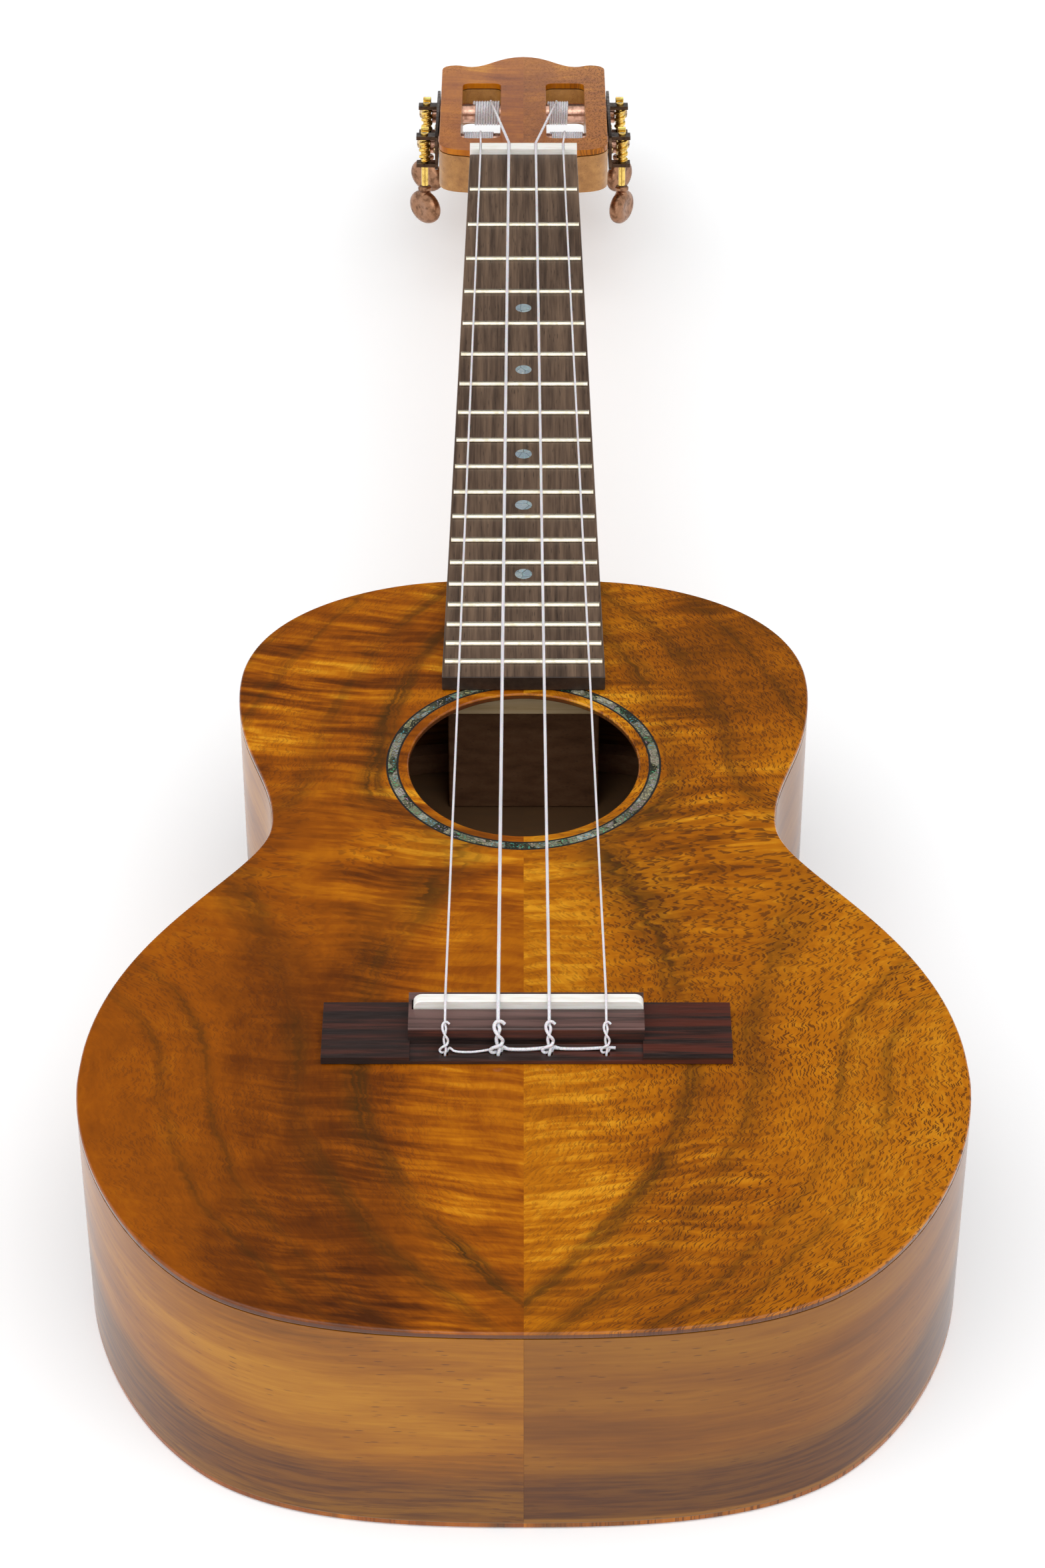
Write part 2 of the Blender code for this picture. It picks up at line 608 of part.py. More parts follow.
def make_neck():
    """Neck, heel and slotted head in one piece of wood, with the bores for the rollers."""
    neck = loft("neck", neck_sections(), "mahogany")
    head = flat_piece("head", [head_outline(HEAD_START)] + slot_loops(),
                      -HEAD_THICKNESS, -HEADPLATE - GAP, "mahogany", HEAD_FRAME)
    boolean(neck, [head], "UNION")
    bores = [rod("bore", BORE_R, ROLLER_INNER - GAP, ROLLER_OUTER, "mahogany", side_frame(side, s))
             for side in (-1, 1) for s in ROLLER_S]
    boolean(neck, bores, "DIFFERENCE")
    start = (NUT_LENGTH + GAP) / math.cos(HEAD_TILT) + HEADPLATE_INSET
    flat_piece("headplate", [head_outline(start)] + slot_loops(),
               -HEADPLATE, 0.0, "koa_top", HEAD_FRAME)


# ---------------------------------------------------------------- tuners
def make_side_plate(name, side):
    """The strip that both tuners of one side sit on, with two drilled ears for each worm."""
    half = SIDE_PLATE_WIDTH / 2
    strip = rounded_rectangle(-half, SIDE_PLATE_START, half, SIDE_PLATE_STOP, SIDE_PLATE_CORNER)
    holes = [circle(0, s, BORE_R, 20) for s in ROLLER_S]
    plate = flat_piece(name, [strip] + holes, SIDE_PLATE_IN, SIDE_PLATE_OUT,
                       "copper_metal", side_frame(side, 0.0))
    ears = []
    shafts = []
    reach = WORM_LENGTH / 2 + GAP
    for s in ROLLER_S:
        centre = s - WORM_OFFSET
        for sign in (-1, 1):
            inner, outer = sorted((sign * reach, sign * (reach + EAR_THICKNESS)))
            low_x, high_x = sorted((side * (SIDE_PLATE_OUT - LAP), side * EAR_OUT))
            ears.append(box("ear", (low_x, centre - EAR_WIDTH / 2, inner - ROLLER_BELOW),
                            (high_x, centre + EAR_WIDTH / 2, outer - ROLLER_BELOW),
                            "copper_metal", HEAD_FRAME))
        place = HEAD_FRAME @ Matrix.Translation((side * WORM_X, centre, -ROLLER_BELOW))
        shafts.append(rod("shaft_bore", SHAFT_BORE_R, -WORM_LENGTH, WORM_LENGTH, "copper_metal",
                          place, 16))
    boolean(plate, ears, "UNION")
    boolean(plate, shafts, "DIFFERENCE")


def make_gear(name, frame):
    """A flat wheel with straight-sided teeth, one of them pointing at the worm's groove."""
    loop = []
    pitch = 2 * math.pi / GEAR_TEETH
    for i in range(GEAR_TEETH):
        middle = i * pitch - math.pi / 2
        for share, radius in ((-0.30, GEAR_ROOT_R), (-0.16, GEAR_TIP_R),
                              (0.16, GEAR_TIP_R), (0.30, GEAR_ROOT_R)):
            angle = middle + share * pitch
            loop.append((radius * math.cos(angle), radius * math.sin(angle)))
    flat_piece(name, [loop], GEAR_IN, GEAR_OUT, "gold_metal", frame)


def make_worm(name, frame):
    """A shaft with a right-hand thread between the ears of the side plate."""
    around, along = 12, 20
    lead = 2 * math.pi * (GEAR_TIP_R + GEAR_ROOT_R) / 2 / GEAR_TEETH
    middle_r = (WORM_TIP_R + WORM_ROOT_R) / 2
    swing = (WORM_TIP_R - WORM_ROOT_R) / 2

    angles = [2 * math.pi * i / around for i in range(around)]
    shaft = [WORM_SHAFT_R] * around
    half = WORM_LENGTH / 2
    shoulder = FINE_GAP / 10                    # keeps the thread's end rings off the shaft's

    def ring(z, radii):
        return [(r * math.cos(a), r * math.sin(a), z) for r, a in zip(radii, angles)]

    rings = [ring(-SHAFT_END_BELOW, shaft), ring(-half, shaft)]
    for i in range(along + 1):
        z = -half + WORM_LENGTH * i / along
        radii = [middle_r - swing * math.cos(2 * math.pi * z / lead - a) for a in angles]
        rings.append(ring(max(-half + shoulder, min(half - shoulder, z)), radii))
    rings += [ring(half, shaft), ring(SHAFT_TOP_ABOVE, shaft)]
    loft(name, rings, "gold_metal", frame)


def make_button(name, frame, degrees):
    """An oval thumb button with a collar where it grips the worm's shaft."""
    shape = bmesh.new()
    bmesh.ops.create_uvsphere(shape, u_segments=16, v_segments=10, radius=1.0)
    bmesh.ops.scale(shape, verts=shape.verts, vec=BUTTON_HALF)
    bmesh.ops.translate(shape, verts=shape.verts, vec=(0, 0, -BUTTON_CENTRE_BELOW))
    turn = Matrix.Rotation(math.radians(degrees), 3, "Z")
    bmesh.ops.rotate(shape, verts=shape.verts, cent=(0, 0, 0), matrix=turn)
    mesh = bpy.data.meshes.new(name)
    shape.to_mesh(mesh)
    shape.free()
    button = add_object(name, mesh, "copper_metal", smooth=True)
    button.matrix_world = frame
    collar = rod("collar", COLLAR_R, COLLAR_IN_BUTTON - BUTTON_CENTRE_BELOW, -SHAFT_END_BELOW - GAP,
                 "copper_metal", frame, 12)
    boolean(button, [collar], "UNION")


def make_tuners():
    """Four worm tuners: 1 and 4 turn the near rollers, 2 and 3 the far ones."""
    make_side_plate("tuner_plate_left", -1)
    make_side_plate("tuner_plate_right", 1)
    places = ((-1, ROLLER_S[0]), (-1, ROLLER_S[1]), (1, ROLLER_S[1]), (1, ROLLER_S[0]))
    for number, (side, s) in enumerate(places, start=1):
        across = side_frame(side, s)
        rod(f"tuner_roller_{number}", ROLLER_R, ROLLER_INNER, ROLLER_OUTER,
            "copper_metal", across)
        make_gear(f"tuner_gear_{number}", across)
        upright = HEAD_FRAME @ Matrix.Translation((side * WORM_X, s - WORM_OFFSET, -ROLLER_BELOW))
        make_worm(f"tuner_worm_{number}", upright)
        make_button(f"tuner_button_{number}", upright, BUTTON_TURN[number - 1])


# ---------------------------------------------------------------- strings
def make_strings():
    """Each string from its roller over the nut and the saddle into its hole in the ledge."""
    for number in range(1, 5):
        radius = STRING_R[number - 1]
        nut_x = STRING_NUT_X[number - 1]
        saddle_x = STRING_SADDLE_X[number - 1]
        roller_x = STRING_ROLLER_X[number - 1]
        s = ROLLER_S[0] if number in (1, 4) else ROLLER_S[1]
        lift = radius + FINE_GAP
        on_roller = HEAD_FRAME @ Vector((roller_x, s, -ROLLER_BELOW + ROLLER_R + radius + GAP))
        nut_z = DEPTH + NUT_TOP - NUT_GROOVE + lift
        saddle_z = DEPTH + SADDLE_TOP + lift
        points = [on_roller,
                  (nut_x, SCALE + NUT_LENGTH + GAP, nut_z),
                  (nut_x, SCALE - GAP, nut_z),
                  (saddle_x, SADDLE_BACK, saddle_z),
                  (saddle_x, SADDLE_FRONT, saddle_z),
                  *((saddle_x, y, DEPTH + height + lift) for y, height in STRING_DROP),
                  (saddle_x, TIE_HOLE_Y, DEPTH + LEDGE_HEIGHT + lift)]
        curve = bpy.data.curves.new(f"string_{number}", "CURVE")
        curve.dimensions = "3D"
        curve.bevel_depth = radius
        curve.bevel_resolution = 2
        curve.use_fill_caps = True
        spline = curve.splines.new("POLY")
        spline.points.add(len(points) - 1)
        for point, place in zip(spline.points, points):
            point.co = (*place, 1)
        source = bpy.data.objects.new(f"string_{number}_path", curve)
        PARTS.objects.link(source)
        as_mesh(source, f"string_{number}", "nylon", smooth=True)


make_soundboard()
make_shell()
make_linings()
make_blocks()
make_braces()
make_bridge()
make_saddle()
make_fretboard()
make_frets()
make_nut()
make_neck()
make_tuners()
make_strings()
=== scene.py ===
import json
import math

import bmesh
import bpy
from mathutils import Matrix, Vector

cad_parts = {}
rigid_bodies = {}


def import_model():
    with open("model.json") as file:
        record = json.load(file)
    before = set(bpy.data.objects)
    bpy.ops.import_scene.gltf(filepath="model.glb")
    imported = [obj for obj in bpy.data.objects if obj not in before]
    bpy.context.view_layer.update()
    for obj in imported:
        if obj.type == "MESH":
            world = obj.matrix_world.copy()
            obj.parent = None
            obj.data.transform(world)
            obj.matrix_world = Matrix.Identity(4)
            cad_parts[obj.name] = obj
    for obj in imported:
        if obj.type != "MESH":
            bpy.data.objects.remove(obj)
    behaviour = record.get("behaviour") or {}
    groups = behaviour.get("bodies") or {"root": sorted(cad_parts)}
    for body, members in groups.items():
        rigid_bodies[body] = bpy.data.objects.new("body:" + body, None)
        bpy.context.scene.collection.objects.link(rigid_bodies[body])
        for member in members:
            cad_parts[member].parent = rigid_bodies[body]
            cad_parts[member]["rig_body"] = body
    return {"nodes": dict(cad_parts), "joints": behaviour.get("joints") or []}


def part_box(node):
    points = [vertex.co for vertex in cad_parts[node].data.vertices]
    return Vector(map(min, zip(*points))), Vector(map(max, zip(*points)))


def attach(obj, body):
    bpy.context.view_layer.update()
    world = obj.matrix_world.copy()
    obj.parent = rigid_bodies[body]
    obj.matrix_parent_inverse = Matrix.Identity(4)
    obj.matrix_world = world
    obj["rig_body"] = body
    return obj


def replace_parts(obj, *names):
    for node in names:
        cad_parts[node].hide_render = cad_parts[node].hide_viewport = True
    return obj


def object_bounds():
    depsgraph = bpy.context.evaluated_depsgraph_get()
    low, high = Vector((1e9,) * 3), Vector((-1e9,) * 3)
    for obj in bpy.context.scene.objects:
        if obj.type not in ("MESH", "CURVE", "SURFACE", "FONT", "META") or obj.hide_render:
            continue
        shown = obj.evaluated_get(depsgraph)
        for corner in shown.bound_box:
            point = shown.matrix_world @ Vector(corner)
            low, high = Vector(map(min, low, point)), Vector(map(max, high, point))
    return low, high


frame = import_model()
CAD_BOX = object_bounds()

MM = 0.001
PLATE_SMOOTH = 10                                 # degrees: a plate's edges past this stay sharp
WELD = 1e-6                                       # vertices closer than this are one
UP = Vector((0, 0, 1))

# ---------------------------------------------------------------- places read from the frame
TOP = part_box("soundboard")[1].z                   # level of the soundboard's face
BOARD_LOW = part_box("soundboard")[0].z
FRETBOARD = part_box("fretboard")
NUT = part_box("nut")
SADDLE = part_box("saddle")
BRIDGE_LEDGE = TOP + 1.2 * MM                     # the low front part with the string holes
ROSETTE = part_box("rosette")
HOLE_Y = (ROSETTE[0].y + ROSETTE[1].y) / 2
ROSETTE_R = (ROSETTE[1].x - ROSETTE[0].x) / 2
JOINTS = {joint["child"]: joint for joint in frame["joints"]}
TUNERS = (1, 2, 3, 4)


def axis_place(body):
    """Where a moving body's axis passes, in the row frame."""
    return Vector(JOINTS[body]["pos_m"])


HEAD_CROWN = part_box("headplate")[1].y / MM        # the headplate's far end, in mm
HEAD_NORMAL = Vector(JOINTS["key_1"]["axis"]).normalized()
HEAD_ALONG = UP.cross(HEAD_NORMAL).cross(HEAD_NORMAL).normalized()
if HEAD_ALONG.y < 0:
    HEAD_ALONG = -HEAD_ALONG


# ---------------------------------------------------------------- objects
def link(name, data, body="root", material=None):
    """A new piece that rides on a body, with one material."""
    obj = bpy.data.objects.new(name, data)
    bpy.context.scene.collection.objects.link(obj)
    if material:
        data.materials.clear()
        data.materials.append(material)
    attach(obj, body)
    return obj


def finished(shape, name, smooth_degrees=35):
    """A mesh from a bmesh, smooth except at its sharp edges."""
    mesh = bpy.data.meshes.new(name)
    bmesh.ops.recalc_face_normals(shape, faces=shape.faces)
    shape.to_mesh(mesh)
    shape.free()
    mesh.shade_smooth()
    mesh.set_sharp_from_angle(angle=math.radians(smooth_degrees))
    return mesh


def cad_shape(node):
    """The node's own shape, welded, with its flat faces whole again."""
    shape = bmesh.new()
    shape.from_mesh(frame["nodes"][node].data)
    bmesh.ops.remove_doubles(shape, verts=shape.verts, dist=2e-6)
    bmesh.ops.dissolve_limit(shape, angle_limit=math.radians(0.4), verts=shape.verts,
                             edges=shape.edges)
    return shape


def round_edges(obj, width, segments):
    """Rounds a piece's edges that turn by more than 30 degrees."""
    bevel = obj.modifiers.new("edges", "BEVEL")
    bevel.width = width
    bevel.segments = segments
    bevel.limit_method = "ANGLE"
    bevel.angle_limit = math.radians(30)
    bevel.harden_normals = True


def refine(node, material, edge=0.0, segments=2, smooth_degrees=35, change=None):
    """A piece with the node's shape, softened edges and a finish of its own."""
    shape = cad_shape(node)
    if change:
        for vert in shape.verts:
            change(vert.co)
    body = frame["nodes"][node]["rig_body"]
    obj = link(node + "_shown", finished(shape, node + "_shown", smooth_degrees), body,
               material)
    if edge:
        round_edges(obj, edge, segments)
    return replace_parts(obj, node)


def applied(obj):
    """A plain mesh of what an object's curve or modifiers make."""
    bpy.context.view_layer.update()
    evaluated = obj.evaluated_get(bpy.context.evaluated_depsgraph_get())
    return bpy.data.meshes.new_from_object(evaluated)


def welded_mesh(name, curve):
    """The mesh of a curve in a bmesh, with its doubled vertices merged."""
    source = bpy.data.objects.new(name, curve)
    bpy.context.scene.collection.objects.link(source)
    mesh = applied(source)
    bpy.data.objects.remove(source, do_unlink=True)
    shape = bmesh.new()
    shape.from_mesh(mesh)
    bmesh.ops.remove_doubles(shape, verts=shape.verts, dist=WELD)
    return shape


def cut_from(obj, name, tool, smooth_degrees):
    """Cuts a mesh out of a piece for good."""
    cutter = bpy.data.objects.new(name, tool)
    bpy.context.scene.collection.objects.link(cutter)
    cut = obj.modifiers.new(name, "BOOLEAN")
    cut.operation = "DIFFERENCE"
    cut.object = cutter
    mesh = applied(obj)
    obj.modifiers.clear()
    obj.data = mesh
    mesh.set_sharp_from_angle(angle=math.radians(smooth_degrees))
    bpy.data.objects.remove(cutter, do_unlink=True)


def chained(edges):
    """Closed loops of vertices from loose edges."""
    next_to = {}
    for edge in edges:
        a, b = edge.verts
        next_to.setdefault(a, []).append(b)
        next_to.setdefault(b, []).append(a)
    loops = []
    left = set(next_to)
    while left:
        first = min(left, key=lambda v: (v.co.x, v.co.y, v.co.z))
        loop = [first]
        left.discard(first)
        step = next((v for v in next_to[first] if v in left), None)
        while step is not None:
            loop.append(step)
            left.discard(step)
            step = next((v for v in next_to[step] if v in left), None)
        loops.append([(v.co.x, v.co.y) for v in loop])
    return loops


def top_loops(node):
    """The outlines of a level plate's upper face."""
    shape = cad_shape(node)
    level = max(v.co.z for v in shape.verts)
    rim = []
    for edge in shape.edges:
        if all(abs(v.co.z - level) < 2e-5 for v in edge.verts) and len(edge.link_faces) == 2:
            tilt = sorted(abs(face.normal.z) for face in edge.link_faces)
            if tilt[0] < 0.5 < tilt[1]:
                rim.append(edge)
    loops = chained(rim)
    shape.free()
    return sorted(loops, key=lambda loop: -max(x for x, y in loop))


def curve_point(p0, p1, p2, p3, t):
    """A point between p1 and p2, on the smooth curve through all four."""
    return 0.5 * (2 * p1 + (p2 - p0) * t + (2 * p0 - 5 * p1 + 4 * p2 - p3) * t * t
                  + (3 * p1 - p0 - 3 * p2 + p3) * t ** 3)


def smoothed(loop, cuts=3):
    """The loop with more points, on a smooth curve through its own."""
    count = len(loop)
    points = []
    for i in range(count):
        p0, p1, p2, p3 = (Vector(loop[(i + k) % count]) for k in (-1, 0, 1, 2))
        for j in range(cuts):
            point = curve_point(p0, p1, p2, p3, j / cuts)
            points.append((point.x, point.y))
    return points


def plate(name, loops, low, high, edge):
    """A level plate with rounded rims."""
    curve = bpy.data.curves.new(name, "CURVE")
    curve.dimensions = "2D"
    curve.fill_mode = "BOTH"
    curve.extrude = (high - low) / 2 - edge
    curve.bevel_depth = edge
    curve.bevel_resolution = 3
    curve.offset = -edge
    for loop in loops:
        spline = curve.splines.new("POLY")
        spline.points.add(len(loop) - 1)
        spline.use_cyclic_u = True
        for point, (x, y) in zip(spline.points, loop):
            point.co = (x, y, 0, 1)
    shape = welded_mesh(name, curve)
    bmesh.ops.translate(shape, verts=shape.verts, vec=(0, 0, (low + high) / 2))
    return finished(shape, name, PLATE_SMOOTH)


def ring_loop(radius, segments=160):
    turn = 2 * math.pi / segments
    return [(radius * math.cos(i * turn), HOLE_Y + radius * math.sin(i * turn))
            for i in range(segments)]


def tube(name, paths, radius, body, material, sides=3):
    """Round strands along paths of points, as one mesh piece."""
    curve = bpy.data.curves.new(name, "CURVE")
    curve.dimensions = "3D"
    curve.bevel_depth = radius
    curve.bevel_resolution = sides
    curve.use_fill_caps = True
    for path in paths:
        spline = curve.splines.new("POLY")
        spline.points.add(len(path) - 1)
        for point, place in zip(spline.points, path):
            point.co = (*place, 1)
    return link(name, finished(welded_mesh(name, curve), name, 50), body, material)


def flowing(points, steps=4):
    """A smooth open path through points."""
    path = []
    padded = [points[0]] + list(points) + [points[-1]]
    for i in range(1, len(padded) - 2):
        p0, p1, p2, p3 = (Vector(padded[i + k]) for k in (-1, 0, 1, 2))
        for j in range(steps):
            path.append(curve_point(p0, p1, p2, p3, j / steps))
    path.append(Vector(points[-1]))
    return path


def turned(name, profile, place, body, material, segments=32):
    """A solid turned about the place's Z axis from (radius, height) points."""
    shape = bmesh.new()
    rows = []
    for radius, height in profile:
        if radius < 1e-7:
            rows.append([shape.verts.new((0, 0, height))])
            continue
        turn = 2 * math.pi / segments
        rows.append([shape.verts.new((radius * math.cos(i * turn), radius * math.sin(i * turn),
                                      height)) for i in range(segments)])
    for first, second in zip(rows, rows[1:]):
        for i in range(segments):
            j = (i + 1) % segments
            corners = [first[i % len(first)], first[j % len(first)],
                       second[j % len(second)], second[i % len(second)]]
            unique = list(dict.fromkeys(corners))
            if len(unique) > 2:
                shape.faces.new(unique)
    bmesh.ops.transform(shape, verts=shape.verts, matrix=place)
    return link(name, finished(shape, name), body, material)


# ---------------------------------------------------------------- materials
class Value:
    """A node's output. Arithmetic on it adds math nodes to its tree."""

    def __init__(self, nodes, socket):
        self.nodes = nodes
        self.socket = socket

    def __add__(self, other):
        return self.nodes.math("ADD", self, other)

    def __sub__(self, other):
        return self.nodes.math("SUBTRACT", self, other)

    def __rsub__(self, other):
        return self.nodes.math("SUBTRACT", other, self)

    def __mul__(self, other):
        return self.nodes.math("MULTIPLY", self, other)

    def __truediv__(self, other):
        return self.nodes.math("DIVIDE", self, other)


class Nodes:
    """Builds a node tree, one node for each call."""

    def __init__(self, tree):
        self.tree = tree

    def add(self, kind, inputs=None, output=0, **settings):
        """A node with its settings and inputs; gives back the output that is asked for."""
        node = self.tree.nodes.new(kind)
        for key, value in settings.items():
            setattr(node, key, value)
        for key, value in (inputs or {}).items():
            if isinstance(value, Value):
                self.tree.links.new(value.socket, node.inputs[key])
            else:
                node.inputs[key].default_value = value
        return Value(self, node.outputs[output])

    def parts(self, vector):
        first = self.add("ShaderNodeSeparateXYZ", {0: vector})
        return [Value(self, socket) for socket in first.socket.node.outputs]

    def scaled(self, vector, factors):
        return self.add("ShaderNodeVectorMath", {0: vector, 1: factors}, operation="MULTIPLY")

    def moved(self, vector, steps):
        return self.add("ShaderNodeVectorMath", {0: vector, 1: steps}, operation="ADD")

    def math(self, operation, a, b=0.0, clamp=False):
        return self.add("ShaderNodeMath", {0: a, 1: b}, operation=operation, use_clamp=clamp)

    def span(self, value, low, high, to_low=0.0, to_high=1.0):
        """The value's place between low and high, eased, from to_low to to_high."""
        return self.add("ShaderNodeMapRange", {0: value, 1: low, 2: high, 3: to_low, 4: to_high},
                        interpolation_type="SMOOTHSTEP")

    def joined(self, x, y, z=0.0):
        return self.add("ShaderNodeCombineXYZ", {0: x, 1: y, 2: z})

    def noise(self, vector, scale=1.0, detail=2.0, roughness=0.5, distortion=0.0):
        return self.add("ShaderNodeTexNoise", {"Vector": vector, "Scale": scale,
                                               "Detail": detail, "Roughness": roughness,
                                               "Distortion": distortion})

    def cells(self, vector, scale=1.0, output="Distance", feature="F1", dimensions="3D"):
        return self.add("ShaderNodeTexVoronoi", {"Vector": vector, "Scale": scale}, output,
                        feature=feature, voronoi_dimensions=dimensions)

    def ramp(self, value, stops):
        """Colours or grey levels along a value from 0 to 1."""
        result = self.add("ShaderNodeValToRGB", {0: value})
        elements = result.socket.node.color_ramp.elements
        while len(elements) < len(stops):
            elements.new(0.5)
        for element, (position, colour) in zip(elements, stops):
            element.position = position
            if isinstance(colour, (int, float)):
                colour = (colour, colour, colour)
            element.color = (*colour, 1.0)
        return result

    def mix(self, share, a, b):
        """Colour a turned into colour b by a share from 0 to 1."""
        a, b = ((*c, 1.0) if isinstance(c, tuple) else c for c in (a, b))
        return self.add("ShaderNodeMix", {0: share, 6: a, 7: b}, 2, data_type="RGBA")

    def bump(self, height, strength, distance):
        return self.add("ShaderNodeBump", {"Strength": strength, "Distance": distance,
                                           "Height": height})


class Finish(Nodes):
    """A procedural material, built node by node in millimetres of the row frame."""

    def __init__(self, name, roughness=0.4, metallic=0.0, coat=0.0, coat_roughness=0.04,
                 specular=0.5, coat_ior=1.5):
        self.material = bpy.data.materials.new(name)
        self.material.use_nodes = True
        super().__init__(self.material.node_tree)
        self.shader = self.tree.nodes["Principled BSDF"]
        self.shader.inputs["Roughness"].default_value = roughness
        self.shader.inputs["Metallic"].default_value = metallic
        self.shader.inputs["Coat Weight"].default_value = coat
        self.shader.inputs["Coat Roughness"].default_value = coat_roughness
        self.shader.inputs["Coat IOR"].default_value = coat_ior
        self.shader.inputs["Specular IOR Level"].default_value = specular
        place = self.add("ShaderNodeTexCoord", output="Object")
        self.place = self.scaled(place, (1 / MM, 1 / MM, 1 / MM))
        self.x, self.y, self.z = self.parts(self.place)

    def use(self, **sockets):
        for key, value in sockets.items():
            self.tree.links.new(value.socket, self.shader.inputs[key.replace("_", " ")])
        return self.material


def lacquer_waves(f):
    """The slight unevenness of a polished lacquer film."""
    return f.bump(f.noise(f.place, 0.05, 2.0), 0.05, 0.0006)


def arched_grain(arch, middle):
    """Grain lines that bow outwards round one level of the board."""
    def lines(f, u):
        away = f.y - middle
        return u + away * away * arch
    return lines


def body_grain(f, u):
    """Grain lines of the top: they close in below the bridge, fan out towards the waist and
    lean back in towards the neck."""
    rise = f.y + 18.0
    below = f.math("MINIMUM", rise, 0.0)
    above = f.math("MAXIMUM", rise, 0.0)
    closing = below * below * 0.0060
    square = above * above
    lower = (u + closing + square * 0.0205) / (square * 0.000416 + 1.0)
    past_waist = f.math("MAXIMUM", f.y - 95.0, 0.0)
    upper = u + past_waist * past_waist * 0.0042
    share = f.span(f.y, 68.0, 102.0)
    return lower * (1.0 - share) + upper * share


def even_tone(f, u, right):
    return f.span(right, 0.0, 1.0, 0.46, 0.54)


def head_tone(f, u, right):
    """Lighter towards the crown of the head, redder between the slots."""
    crown = f.span(f.y, HEAD_CROWN - 32.0, HEAD_CROWN - 12.0, 0.0, 0.14)
    middle = f.span(u, 6.0, 16.0, 0.14, 0.0)
    return 0.66 - middle + crown


def body_tone(f, u, right):
    """How light the top's two halves are from place to place."""
    shade = f.span(u, 18.0, 38.0) * f.span(u, 64.0, 88.0, 1.0, 0.30)
    shade = shade * f.span(f.y, 10.0, 50.0, 1.0, 0.30)
    left = f.span(u, 60.0, 92.0, 0.60, 0.57) - shade * 0.31
    hollow = f.span(u, 14.0, 34.0) * f.span(u, 52.0, 84.0, 1.0, 0.0)
    shoulder = f.span(u, 32.0, 52.0) * f.span(f.y, 104.0, 134.0)
    other = 0.76 - (hollow * 0.17 + shoulder * 0.25)
    both = left * (1.0 - right) + other * right
    tail = f.span(f.y, -102.0, -66.0, 0.17, 0.0) * f.span(u, 20.0, 50.0, 1.0, 0.3)
    return both - tail


